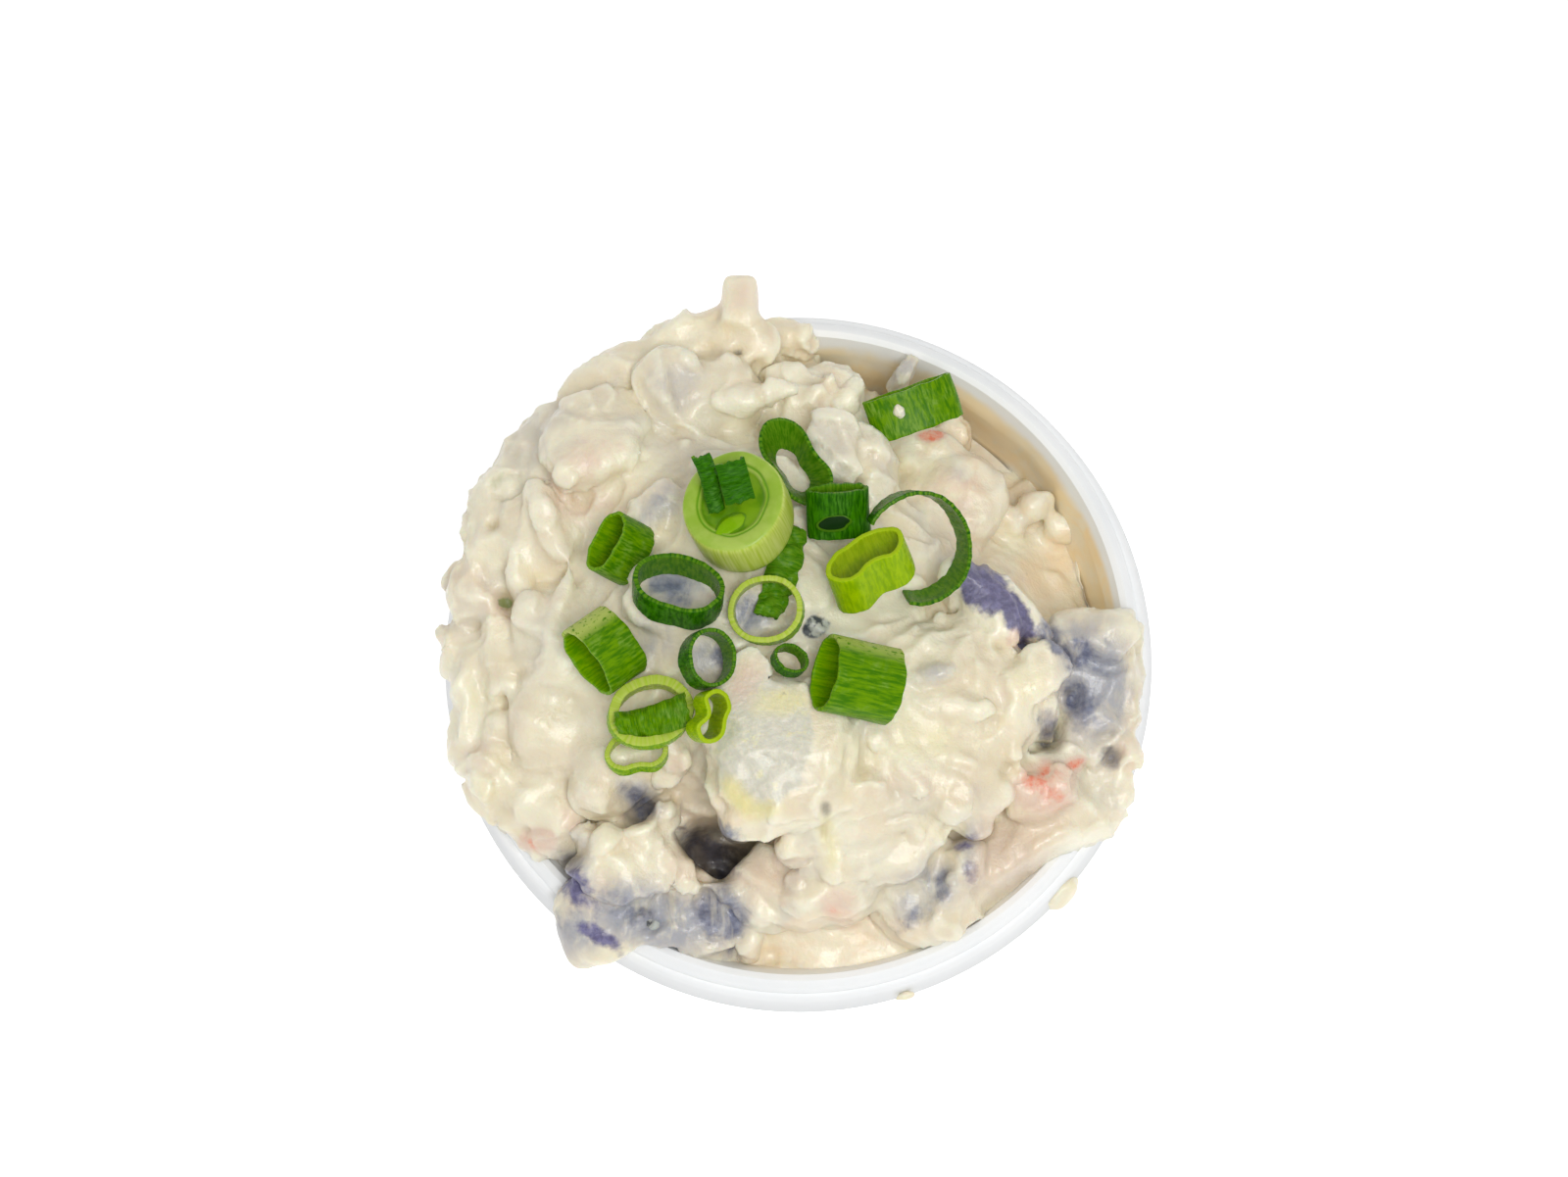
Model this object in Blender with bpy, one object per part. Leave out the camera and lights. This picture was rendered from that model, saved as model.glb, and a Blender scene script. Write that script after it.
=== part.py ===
"""Potato salad heaped in a small round foam cup and topped with cut scallion.

The origin is the centre of the cup's flat underside and +Z is up. +Y points to the back of
the cup, where a stick of potato stands out over the rim. Lengths are written in millimetres
and made metres when a mesh is built.
"""

import math

import bmesh
import bpy
from mathutils import Euler, Matrix, Vector, noise
from mathutils.bvhtree import BVHTree

MM = 0.001
GAP = 0.3

# The cup: a tapered foam wall under a rolled rim.
CUP_HEIGHT = 62.0
CUP_SIDES = 48
BASE_RADIUS = 31.0
RIM_RADIUS = 45.5
LIP_RADIUS = 42.2
FLOOR = 3.0
FLOOR_RADIUS = 28.5
MOUTH_RADIUS = 41.0
MOUTH_DROP = 1.1
NECK_RADIUS = 43.4
BAND_DROP = 7.4
RIDGE_RADIUS = 44.4
RIDGE_DROP = 2.3

# The body of the salad inside the cup, as rings round the cup's axis.
HEAP_RINGS = (0.88, 0.76, 0.64, 0.52, 0.4, 0.28, 0.16)
HEAP_BLEND = 6.5

# Height of the salad over the rim at places across the cup: x, y, height.
HEAP_HEIGHTS = (
    (-8, 2, 21), (6, 7, 18), (-18, 0, 19), (6, -6, 18), (-20, -12, 18), (-12, 14, 19),
    (-2, -16, 14), (14, -14, 12), (25, -17, 7), (16, -4, 14), (25, -3, 8), (35, -6, 0),
    (35, 3, -2), (15, 9, 12), (23, 6, 6), (24, 16, -4), (20, 27, -12), (29, 21, -14),
    (35, 11, -10), (12, 34, -9), (5, 22, 11), (-14, 29, 9), (0, 37, -1), (-10, 38, 2),
    (-26, 21, 11), (-34, 14, 5), (-38, 5, 3), (-27, 5, 12), (-38, -7, 2), (-28, -8, 11),
    (-34, -19, 1), (-22, -25, 2), (-18, -34, -4), (-10, -26, 0), (-10, -36, -6), (4, -29, 4),
    (4, -38, -5), (16, -32, -4), (25, -29, -3), (30, -20, 3),
)

# Chunks and spoonfuls on the body: name, centre over the rim, half sizes, turn, squareness.
CHUNKS = (
    ("stub", (-7.3, 41.0, 5.6), (2.4, 5.6, 2.6), (24, 0, 2), 4.0),
    ("stub_foot", (-8.0, 36.5, 2.6), (6.0, 4.6, 4.0), (0, 0, 10), 2.3),
    ("stub_left", (-14.5, 37.6, 2.4), (6.0, 4.6, 4.6), (0, 0, 20), 2.3),
    ("back_middle", (-12.0, 30.5, 7.0), (7.0, 6.0, 5.0), (10, 0, 15), 2.6),
    ("back_shoulder", (-22.5, 33.2, 3.2), (6.5, 5.2, 6.0), (0, 0, 40), 2.4),
    ("back_left", (-25.5, 24.5, 8.2), (7.0, 6.5, 5.5), (5, 8, 30), 2.6),
    ("left_back_edge", (-32.6, 24.6, 2.4), (6.4, 5.0, 5.4), (0, 0, 55), 2.4),
    ("left_knoll", (-37.6, 16.2, 3.0), (5.6, 5.2, 5.4), (0, 0, 70), 2.5),
    ("left_shoulder", (-31.5, 12.6, 6.2), (6.0, 6.6, 5.0), (0, -12, 10), 2.6),
    ("left_edge", (-38.6, 6.6, 2.6), (5.0, 6.2, 5.4), (0, 0, 85), 2.4),
    ("left_spike", (-43.2, 1.4, 1.6), (2.6, 1.3, 1.3), (0, 8, 0), 2.0),
    ("left_flank", (-38.8, -2.6, 1.6), (5.2, 6.0, 5.0), (0, 0, 95), 2.4),
    ("left_low", (-38.2, -11.6, 1.0), (5.6, 6.0, 5.0), (0, 0, 100), 2.5),
    ("left_foot", (-36.0, -19.6, 0.6), (5.8, 4.8, 4.4), (0, 0, 130), 2.4),
    ("left_middle", (-29.5, -1.0, 8.6), (6.4, 7.4, 5.0), (0, -10, 0), 2.4),
    ("left_inner", (-30.5, -11.0, 6.4), (5.8, 6.6, 5.0), (0, -12, 20), 2.5),
    ("left_tip", (-31.0, -23.6, 0.8), (5.0, 2.6, 2.8), (0, 0, 8), 2.2),
    ("hollow_rim", (-23.4, -17.6, 7.0), (5.4, 5.0, 6.4), (0, 0, 30), 2.4),
    ("ridge_back", (1.5, 30.0, 3.4), (7.4, 5.6, 6.0), (0, 12, 10), 2.4),
    ("ridge_edge", (-2.0, 37.0, -1.4), (6.4, 3.4, 4.2), (0, 0, 0), 2.3),
    ("lobe_left", (3.6, 21.4, 9.4), (3.4, 4.9, 5.4), (0, 0, -8), 2.5),
    ("lobe_right", (9.6, 19.6, 5.6), (2.6, 5.6, 5.4), (0, 6, -4), 2.4),
    ("chunk_back", (19.0, 19.0, -2.4), (7.2, 5.6, 5.6), (6, 10, 20), 3.0),
    ("crumb_far", (29.6, 22.0, -11.0), (2.8, 2.2, 2.2), (0, 0, 30), 2.4),
    ("crumb_near", (33.0, 17.6, -8.6), (2.2, 2.8, 2.2), (0, 0, 10), 2.4),
    ("purple_arc", (22.8, 4.0, 7.4), (6.2, 4.0, 5.4), (8, 10, -42), 3.2),
    ("right_chunk", (35.8, -4.2, 0.8), (7.6, 8.4, 6.4), (4, -6, 12), 3.4),
    ("right_foot", (36.4, -12.2, 1.2), (5.6, 4.6, 4.4), (0, 6, 30), 2.6),
    ("shelf", (17.0, -8.6, 11.6), (12.0, 8.6, 4.6), (2, 8, -10), 3.2),
    ("shelf_knob", (27.6, -8.6, 8.2), (4.0, 4.4, 3.8), (0, 0, 20), 2.6),
    ("shelf_front", (16.4, -17.6, 10.8), (9.6, 5.4, 4.8), (-12, 10, -14), 2.8),
    ("drip", (21.4, -22.4, 8.6), (2.4, 3.6, 2.8), (0, 0, 10), 2.3),
    ("crab", (30.2, -18.2, 5.0), (5.2, 4.2, 3.6), (0, 12, 24), 2.8),
    ("tongue", (32.0, -24.4, 0.4), (10.6, 4.6, 2.8), (0, 4, 38), 2.8),
    ("slice", (-1.6, -16.4, 16.6), (9.4, 9.2, 3.6), (14, 3, 6), 3.6),
    ("slice_lip", (-5.4, -23.4, 14.4), (4.2, 2.6, 3.2), (10, 0, 12), 2.6),
    ("under_slice", (6.0, -22.0, 9.4), (6.4, 5.4, 5.4), (0, 0, 10), 2.4),
    ("cream_lump", (-21.8, -27.6, 3.0), (5.8, 5.2, 4.8), (0, 6, 30), 2.5),
    ("purple_left", (-24.6, -33.6, -1.0), (6.0, 5.6, 5.4), (10, 6, 24), 3.4),
    ("purple_middle", (-14.6, -34.0, -2.4), (7.6, 5.2, 5.2), (6, 0, -12), 3.0),
    ("front_lump", (3.6, -30.4, 3.0), (7.0, 5.2, 6.0), (6, 0, 12), 2.4),
    ("front_lump_left", (-3.6, -30.6, 1.4), (5.2, 4.8, 5.2), (0, 0, 20), 2.4),
    ("front_step", (11.4, -25.8, 5.4), (5.8, 5.2, 5.4), (4, 0, -20), 2.5),
    ("purple_front", (16.2, -31.4, -1.2), (6.8, 6.4, 5.4), (8, -4, 30), 3.6),
    ("front_pool", (3.0, -36.4, -6.0), (9.6, 3.0, 3.4), (0, 0, 2), 2.2),
)
CHUNK_ROUGHNESS = 0.24
CHUNK_NOISE = 1.5
SALAD_FACES = 4600

# Cut scallion: name, place seen from above, lean of the axis to +X and +Y, turn of the long
# side, half sizes, wall, length, pinches of the two long sides and the share that is whole.
TUBES = (
    ("low_partial_ring", (-19.8, -16.2), (0.0, 0.14), 8, (3.9, 2.8), 0.8, 2.6, (0.0, 0.25), 1.0),
    ("light_ring_low", (-18.0, -11.8), (0.05, 0.06), 20, (5.3, 4.3), 1.0, 2.6, (0.0, 0.0), 1.0),
    ("mid_light_ring", (-4.0, 0.2), (-0.08, -0.06), 10, (4.6, 4.2), 0.9, 2.6, (0.0, 0.0), 1.0),
    ("dark_oval_ring", (-14.6, 2.2), (0.08, 0.28), -14, (5.6, 4.0), 0.7, 4.8, (0.0, 0.1), 1.0),
    ("medium_ring", (-11.1, -6.1), (0.36, -0.06), 95, (3.6, 3.1), 0.6, 4.0, (0.0, 0.0), 1.0),
    ("small_ring", (-1.2, -5.9), (0.28, 0.16), -24, (2.2, 1.8), 0.5, 2.4, (0.0, 0.0), 1.0),
    ("curled_bright", (-11.0, -13.2), (0.26, 0.06), 80, (3.2, 2.1), 0.8, 3.4, (0.40, 0.0), 1.0),
    ("hex_tube", (-21.9, 8.8), (-0.70, 0.24), 52, (4.0, 3.1), 0.6, 5.2, (0.12, 0.12), 1.0),
    ("striped_tube", (-23.6, -4.4), (-0.74, -0.60), -54, (4.8, 3.7), 0.6, 6.0, (0.0, 0.0), 1.0),
    ("front_right_tube", (7.0, -8.6), (-0.90, 0.12), 64, (4.7, 4.0), 0.6, 9.2, (0.0, 0.0), 1.0),
    ("curled_loop", (-0.4, 19.6), (0.10, 0.06), -58, (4.9, 2.8), 0.7, 3.8, (0.30, 0.30), 1.0),
    ("square_tube", (4.8, 13.1), (-0.05, 0.83), 2, (3.9, 1.8), 0.6, 6.4, (0.0, 0.0), 1.0),
    ("big_thin_ring", (14.4, 8.6), (0.24, -0.42), 35, (6.4, 6.9), 0.6, 4.4, (0.0, 0.0), 0.68),
    ("kidney_ring", (8.6, 4.9), (-0.24, 0.46), 36, (5.4, 3.2), 0.8, 6.4, (0.10, 0.46), 1.0),
    ("back_right_tube", (14.4, 29.0), (-0.32, 0.88), 24, (5.9, 2.2), 0.6, 5.8, (0.0, 0.0), 1.0),
)
TUBE_SIDES = 20

# The thick slice of the bulb end, with a shallow hollow in its face.
BULB_PLACE = (-7.3, 12.0)
BULB_LEAN = (-0.22, 0.22)
BULB_RADII = (6.4, 6.9)
BULB_LENGTH = 6.8
BULB_HOLLOW = 0.62
BULB_DEPTH = 1.4

# Loose bits of leaf: name, place, lean of the face's normal, turn, half sizes and curl.
LEAVES = (
    ("wrinkled_leaf", (-2.3, 5.4), (0.16, -0.02), 76, (5.8, 1.9), 0.4),
    ("folded_leaf", (-17.7, -12.3), (0.0, -0.10), 18, (3.1, 1.5), 0.9),
    ("leaf_sliver", (-10.8, 14.4), (0.30, -0.42), 112, (3.6, 1.5), 1.1),
    ("leaf_chip", (-7.7, 14.6), (0.10, -0.40), 106, (2.5, 1.9), 0.5),
)
LEAF_THICKNESS = 0.7
LEAF_STEPS = (6, 4)

COLOURS = {
    "foam": (0.92, 0.93, 0.92),
    "cream": (0.86, 0.78, 0.62),
    "leaf": (0.09, 0.30, 0.02),
    "pale_leaf": (0.42, 0.58, 0.06),
}
PALE_PIECES = ("bulb_slice", "kidney_ring", "mid_light_ring", "light_ring_low", "low_partial_ring")


def clear_scene():
    for item in list(bpy.data.objects):
        bpy.data.objects.remove(item)


def material(name, roughness):
    found = bpy.data.materials.get(name)
    if found:
        return found
    made = bpy.data.materials.new(name)
    made.use_nodes = True
    shader = made.node_tree.nodes["Principled BSDF"]
    shader.inputs["Base Color"].default_value = (*COLOURS[name], 1.0)
    shader.inputs["Roughness"].default_value = roughness
    return made


def finish(name, bm, finish_name, roughness):
    """Turns the faces outwards and makes the mesh an object in metres."""
    bmesh.ops.recalc_face_normals(bm, faces=bm.faces)
    bmesh.ops.scale(bm, vec=(MM, MM, MM), verts=bm.verts)
    mesh = bpy.data.meshes.new(name)
    bm.to_mesh(mesh)
    bm.free()
    mesh.materials.append(material(finish_name, roughness))
    made = bpy.data.objects.new(name, mesh)
    bpy.context.scene.collection.objects.link(made)
    return made


def cup_profile():
    """Points of the cup's section, from the middle of its underside round to its floor."""
    top = CUP_HEIGHT
    return [
        (0.0, 0.0),
        (BASE_RADIUS - 0.8, 0.0),
        (BASE_RADIUS, 0.8),
        (NECK_RADIUS, top - BAND_DROP - 1.2),
        (RIM_RADIUS - 0.3, top - BAND_DROP),
        (RIM_RADIUS, top - BAND_DROP + 1.0),
        (RIDGE_RADIUS + 0.2, top - RIDGE_DROP - 0.5),
        (RIDGE_RADIUS - 0.3, top - RIDGE_DROP + 0.4),
        (RIDGE_RADIUS - 1.0, top - RIDGE_DROP + 0.7),
        (LIP_RADIUS + 0.8, top - 0.4),
        (LIP_RADIUS, top),
        (LIP_RADIUS - 0.8, top - 0.3),
        (MOUTH_RADIUS, top - MOUTH_DROP),
        (FLOOR_RADIUS, FLOOR + 1.2),
        (FLOOR_RADIUS - 1.2, FLOOR + 0.1),
        (0.0, FLOOR),
    ]


def turned(profile):
    """Spins a section that starts and ends on the Z axis into a closed solid."""
    bm = bmesh.new()
    verts = [bm.verts.new((r, 0.0, z)) for r, z in profile]
    edges = [bm.edges.new(pair) for pair in zip(verts, verts[1:])]
    bmesh.ops.spin(bm, geom=verts + edges, cent=(0, 0, 0), axis=(0, 0, 1), angle=math.tau,
                   steps=CUP_SIDES, use_merge=True, use_duplicate=False)
    bmesh.ops.remove_doubles(bm, verts=bm.verts, dist=0.001)
    return bm


def swollen(profile, amount):
    """Moves each point of a section outwards by the amount, along the section's normal."""
    points = [Vector(point) for point in profile]
    moved = []
    for index, point in enumerate(points):
        before = points[max(index - 1, 0)]
        after = points[min(index + 1, len(points) - 1)]
        along = (after - before).normalized()
        outward = Vector((along.y, -along.x))
        shifted = point + outward * amount
        moved.append((max(shifted.x, 0.0), shifted.y))
    moved[0] = (0.0, moved[0][1])
    moved[-1] = (0.0, moved[-1][1])
    return moved


def inner_radius(height):
    """Radius of the cup's inner wall at a height over its underside."""
    low = FLOOR + 1.2
    share = (height - low) / (CUP_HEIGHT - MOUTH_DROP - low)
    return FLOOR_RADIUS + (MOUTH_RADIUS - FLOOR_RADIUS) * min(max(share, 0.0), 1.0)


def heap_height(x, y):
    """Height of the salad's body over the rim, blended between the stated places."""
    total = 0.0
    weights = 0.0
    for px, py, height in HEAP_HEIGHTS:
        distance = ((x - px) ** 2 + (y - py) ** 2) / (2 * HEAP_BLEND ** 2)
        weight = math.exp(-distance) + 1e-9
        total += height * weight
        weights += weight
    return total / weights


def edge_point(angle):
    """Where the salad's body meets the cup's wall, or stands over the rim."""
    reach = MOUTH_RADIUS - GAP - 0.4
    for _ in range(4):
        height = CUP_HEIGHT + heap_height(reach * math.cos(angle), reach * math.sin(angle))
        reach = inner_radius(height) - GAP - 0.4
    return reach, height


def salad_body():
    """The salad in the cup: rings up its wall and over its uneven top."""
    bm = bmesh.new()
    rings = []
    floor = FLOOR + 1.6
    angles = [math.tau * step / CUP_SIDES for step in range(CUP_SIDES)]
    edges = [edge_point(angle) for angle in angles]
    for share in (0.0, 0.5, 1.0):
        ring = []
        for angle, (_, height) in zip(angles, edges):
            level = floor + (height - floor) * share
            radius = inner_radius(level) - GAP - 0.4
            ring.append(bm.verts.new((radius * math.cos(angle), radius * math.sin(angle), level)))
        rings.append(ring)
    for share in HEAP_RINGS:
        ring = []
        for angle, (reach, _) in zip(angles, edges):
            x = reach * share * math.cos(angle)
            y = reach * share * math.sin(angle)
            ring.append(bm.verts.new((x, y, CUP_HEIGHT + heap_height(x, y))))
        rings.append(ring)
    for low, high in zip(rings, rings[1:]):
        for step in range(CUP_SIDES):
            after = (step + 1) % CUP_SIDES
            bm.faces.new((low[step], low[after], high[after], high[step]))
    foot = bm.verts.new((0.0, 0.0, floor - 0.4))
    peak = bm.verts.new((0.0, 0.0, CUP_HEIGHT + heap_height(0.0, 0.0)))
    for step in range(CUP_SIDES):
        after = (step + 1) % CUP_SIDES
        bm.faces.new((rings[0][after], rings[0][step], foot))
        bm.faces.new((rings[-1][step], rings[-1][after], peak))
    bmesh.ops.triangulate(bm, faces=bm.faces)
    return bm


def chunk_mesh(index, centre, half, turn, squareness):
    """A ball pressed towards a box, roughened, turned and put in its place."""
    bm = bmesh.new()
    bmesh.ops.create_icosphere(bm, subdivisions=3, radius=1.0)
    shift = Vector((index * 7.31, index * 3.17, index * 5.53))
    for vert in bm.verts:
        x, y, z = (abs(value) for value in vert.co)
        reach = (x ** squareness + y ** squareness + z ** squareness) ** (-1.0 / squareness)
        rough = 1.0 + CHUNK_ROUGHNESS * noise.noise(vert.co * CHUNK_NOISE + shift)
        vert.co = vert.co * reach * rough
    bmesh.ops.scale(bm, vec=half, verts=bm.verts)
    spin = Euler([math.radians(value) for value in turn]).to_matrix()
    bmesh.ops.rotate(bm, cent=(0, 0, 0), matrix=spin, verts=bm.verts)
    place = Vector(centre) + Vector((0, 0, CUP_HEIGHT))
    bmesh.ops.translate(bm, vec=place, verts=bm.verts)
    return bm


def apply_boolean(target, operation, solver, other=None, group=None):
    """Joins a collection to the target, or cuts an object from it, and keeps the result."""
    modifier = target.modifiers.new(operation.lower(), "BOOLEAN")
    modifier.operation = operation
    modifier.solver = solver
    if group:
        modifier.operand_type = "COLLECTION"
        modifier.collection = group
    else:
        modifier.object = other
    graph = bpy.context.evaluated_depsgraph_get()
    result = bpy.data.meshes.new_from_object(target.evaluated_get(graph))
    target.modifiers.remove(modifier)
    target.data = result


def thin_out(target, faces):
    """Brings a solid down to about a number of triangles, with its shape kept."""
    target.modifiers.new("triangles", "TRIANGULATE")
    graph = bpy.context.evaluated_depsgraph_get()
    target.data = bpy.data.meshes.new_from_object(target.evaluated_get(graph))
    target.modifiers.clear()
    modifier = target.modifiers.new("thin_out", "DECIMATE")
    modifier.ratio = min(1.0, faces / len(target.data.polygons))
    graph = bpy.context.evaluated_depsgraph_get()
    result = bpy.data.meshes.new_from_object(target.evaluated_get(graph))
    target.modifiers.remove(modifier)
    target.data = result


def keep_largest_shell(mesh):
    """Drops loose scraps and the walls of sealed hollows, and joins points that meet."""
    bm = bmesh.new()
    bm.from_mesh(mesh)
    bmesh.ops.remove_doubles(bm, verts=bm.verts, dist=0.00002)
    bmesh.ops.dissolve_degenerate(bm, edges=bm.edges, dist=0.00002)
    bmesh.ops.triangulate(bm, faces=bm.faces)
    waiting = set(bm.faces)
    shells = []
    while waiting:
        shell = set()
        edge_of_search = [waiting.pop()]
        while edge_of_search:
            face = edge_of_search.pop()
            shell.add(face)
            for edge in face.edges:
                for near in edge.link_faces:
                    if near in waiting:
                        waiting.discard(near)
                        edge_of_search.append(near)
        shells.append(shell)
    shells.sort(key=len)
    scraps = [face for shell in shells[:-1] for face in shell]
    bmesh.ops.delete(bm, geom=scraps, context="FACES")
    bm.to_mesh(mesh)
    bm.free()


def make_salad():
    """The whole heap as one solid: its body, its chunks, and room left for the cup."""
    salad = finish("salad", salad_body(), "cream", 0.4)
    pieces = bpy.data.collections.new("salad_chunks")
    bpy.context.scene.collection.children.link(pieces)
    for index, (name, centre, half, turn, squareness) in enumerate(CHUNKS):
        bm = chunk_mesh(index, centre, half, turn, squareness)
        piece = finish("chunk_" + name, bm, "cream", 0.4)
        bpy.context.scene.collection.objects.unlink(piece)
        pieces.objects.link(piece)
    apply_boolean(salad, "UNION", "MANIFOLD", group=pieces)
    thin_out(salad, SALAD_FACES)
    room = finish("cup_room", turned(swollen(cup_profile(), GAP)), "foam", 0.5)
    apply_boolean(salad, "DIFFERENCE", "MANIFOLD", other=room)
    for item in list(pieces.objects) + [room]:
        bpy.data.objects.remove(item)
    bpy.data.collections.remove(pieces)
    keep_largest_shell(salad.data)
    return salad


def frame_of(lean, turn):
    """Axes of a piece: its long side, its short side and the axis that leans by lean."""
    rise = math.sqrt(max(1.0 - lean[0] ** 2 - lean[1] ** 2, 0.0))
    axis = Vector((lean[0], lean[1], rise)).normalized()
    angle = math.radians(turn)
    side = Vector((math.cos(angle), math.sin(angle), 0.0))
    side = (side - axis * side.dot(axis)).normalized()
    return Matrix((side, axis.cross(side), axis)).transposed()


def outline(half, pinches, steps, whole=1.0):
    """A scallion's section: an oval that may be pinched at its long sides, or cut open."""
    points = []
    spaces = steps if whole == 1.0 else steps - 1
    for step in range(steps):
        angle = math.tau * whole * (step / spaces - 0.5)
        pinch = pinches[0] if math.sin(angle) > 0 else pinches[1]
        waist = 1.0 - pinch * math.exp(-(math.cos(angle) / 0.4) ** 2)
        points.append(Vector((half[0] * math.cos(angle), half[1] * math.sin(angle) * waist)))
    return points


def inset_outline(points, wall, closed):
    """The same section moved inwards by the wall."""
    moved = []
    last = len(points) - 1
    for index, point in enumerate(points):
        after = (index + 1) % len(points) if closed else min(index + 1, last)
        before = index - 1 if closed else max(index - 1, 0)
        along = (points[after] - points[before]).normalized()
        moved.append(point + Vector((-along.y, along.x)) * wall)
    return moved


def tube_mesh(lean, turn, half, wall, length, pinches, whole):
    """A cut length of hollow scallion about the origin."""
    bm = bmesh.new()
    axes = frame_of(lean, turn)
    closed = whole == 1.0
    outer = outline(half, pinches, TUBE_SIDES, whole)
    inner = inset_outline(outer, wall, closed)
    rings = []
    for points, end in ((outer, -0.5), (outer, 0.5), (inner, 0.5), (inner, -0.5)):
        rings.append([bm.verts.new(axes @ Vector((p.x, p.y, end * length))) for p in points])
    for ring, after in zip(rings, rings[1:] + rings[:1]):
        for step in range(TUBE_SIDES if closed else TUBE_SIDES - 1):
            follow = (step + 1) % TUBE_SIDES
            bm.faces.new((ring[step], ring[follow], after[follow], after[step]))
    if not closed:
        bm.faces.new([ring[0] for ring in rings])
        bm.faces.new([ring[-1] for ring in rings])
    bmesh.ops.triangulate(bm, faces=bm.faces)
    return bm


def bulb_mesh():
    """The bulb slice about the origin: a squat solid with a shallow hollow in its face."""
    bm = bmesh.new()
    axes = frame_of(BULB_LEAN, 0)
    top = BULB_LENGTH / 2
    levels = ((0.97, -top), (1.0, 0.0), (1.0, top - 0.4), (0.95, top), (BULB_HOLLOW, top),
              (BULB_HOLLOW * 0.94, top - BULB_DEPTH))
    rings = []
    for share, level in levels:
        points = outline([value * share for value in BULB_RADII], (0.0, 0.0), TUBE_SIDES)
        rings.append([bm.verts.new(axes @ Vector((p.x, p.y, level))) for p in points])
    for ring, after in zip(rings, rings[1:]):
        for step in range(TUBE_SIDES):
            follow = (step + 1) % TUBE_SIDES
            bm.faces.new((ring[step], ring[follow], after[follow], after[step]))
    bm.faces.new(list(reversed(rings[0])))
    bm.faces.new(rings[-1])
    bmesh.ops.triangulate(bm, faces=bm.faces)
    return bm


def leaf_mesh(lean, turn, half, curl):
    """A bit of leaf about the origin: a thin slab curled along its long side."""
    bm = bmesh.new()
    axes = frame_of(lean, turn)
    long_steps, wide_steps = LEAF_STEPS
    sheets = []
    for side in (-0.5, 0.5):
        sheet = []
        for i in range(long_steps + 1):
            row = []
            for j in range(wide_steps + 1):
                along = 2.0 * i / long_steps - 1.0
                across = 2.0 * j / wide_steps - 1.0
                bend = across * curl
                spread = half[1] / max(curl, 0.01)
                x = along * half[0]
                y = (spread + side * LEAF_THICKNESS) * math.sin(bend)
                z = (spread + side * LEAF_THICKNESS) * math.cos(bend) - spread
                z += 0.3 * math.sin(along * 4.0)
                row.append(bm.verts.new(axes @ Vector((x, y, z))))
            sheet.append(row)
        sheets.append(sheet)
    for sheet in sheets:
        for row, after in zip(sheet, sheet[1:]):
            for j in range(wide_steps):
                bm.faces.new((row[j], row[j + 1], after[j + 1], after[j]))
    low, high = sheets
    for i in range(long_steps):
        for j in (0, wide_steps):
            bm.faces.new((low[i][j], low[i + 1][j], high[i + 1][j], high[i][j]))
    for j in range(wide_steps):
        for i in (0, long_steps):
            bm.faces.new((low[i][j], low[i][j + 1], high[i][j + 1], high[i][j]))
    bmesh.ops.triangulate(bm, faces=bm.faces)
    return bm


def samples(bm):
    """Points of a mesh: its vertices and places along its edges."""
    points = [vert.co.copy() for vert in bm.verts]
    for edge in bm.edges:
        start, end = (vert.co for vert in edge.verts)
        parts = int((end - start).length / 0.5)
        points += [start.lerp(end, part / parts) for part in range(1, parts)]
    return points


def settle(bm, place, beds):
    """Lowers a piece at its place until it is a gap above what lies below it."""
    lift = 200.0
    bmesh.ops.translate(bm, vec=(place[0], place[1], lift), verts=bm.verts)
    down = Vector((0, 0, -1))
    up = Vector((0, 0, 1))
    own = BVHTree.FromBMesh(bm)
    own_points = samples(bm)
    low_x = min(point.x for point in own_points)
    high_x = max(point.x for point in own_points)
    low_y = min(point.y for point in own_points)
    high_y = max(point.y for point in own_points)
    room = lift
    for tree, points in beds:
        for point in own_points:
            hit = tree.ray_cast(point, down)
            if hit[0]:
                room = min(room, point.z - hit[0].z)
        for point in points:
            if low_x < point.x < high_x and low_y < point.y < high_y:
                hit = own.ray_cast(point, up)
                if hit[0]:
                    room = min(room, hit[0].z - point.z)
    bmesh.ops.translate(bm, vec=(0, 0, GAP - room), verts=bm.verts)
    beds.append((BVHTree.FromBMesh(bm), samples(bm)))


def make_scallions(salad):
    """Every piece of scallion, each settled on the salad and on the pieces before it."""
    bm = bmesh.new()
    bm.from_mesh(salad.data)
    bmesh.ops.scale(bm, vec=(1 / MM, 1 / MM, 1 / MM), verts=bm.verts)
    beds = [(BVHTree.FromBMesh(bm), [point for point in samples(bm) if point.z > CUP_HEIGHT])]
    bm.free()
    made = {}
    for name, place, *shape in LEAVES[:1]:
        made[name] = (leaf_mesh(*shape), place)
    for name, place, *shape in TUBES:
        made[name] = (tube_mesh(*shape), place)
    made["bulb_slice"] = (bulb_mesh(), BULB_PLACE)
    for name, place, *shape in LEAVES[1:]:
        made[name] = (leaf_mesh(*shape), place)
    for name, (mesh, place) in made.items():
        settle(mesh, place, beds)
        finish(name, mesh, "pale_leaf" if name in PALE_PIECES else "leaf", 0.35)


clear_scene()
finish("cup", turned(cup_profile()), "foam", 0.5)
make_scallions(make_salad())
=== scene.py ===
import math

import bmesh
import bpy
import numpy as np
from mathutils import Matrix, Vector, noise


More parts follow.
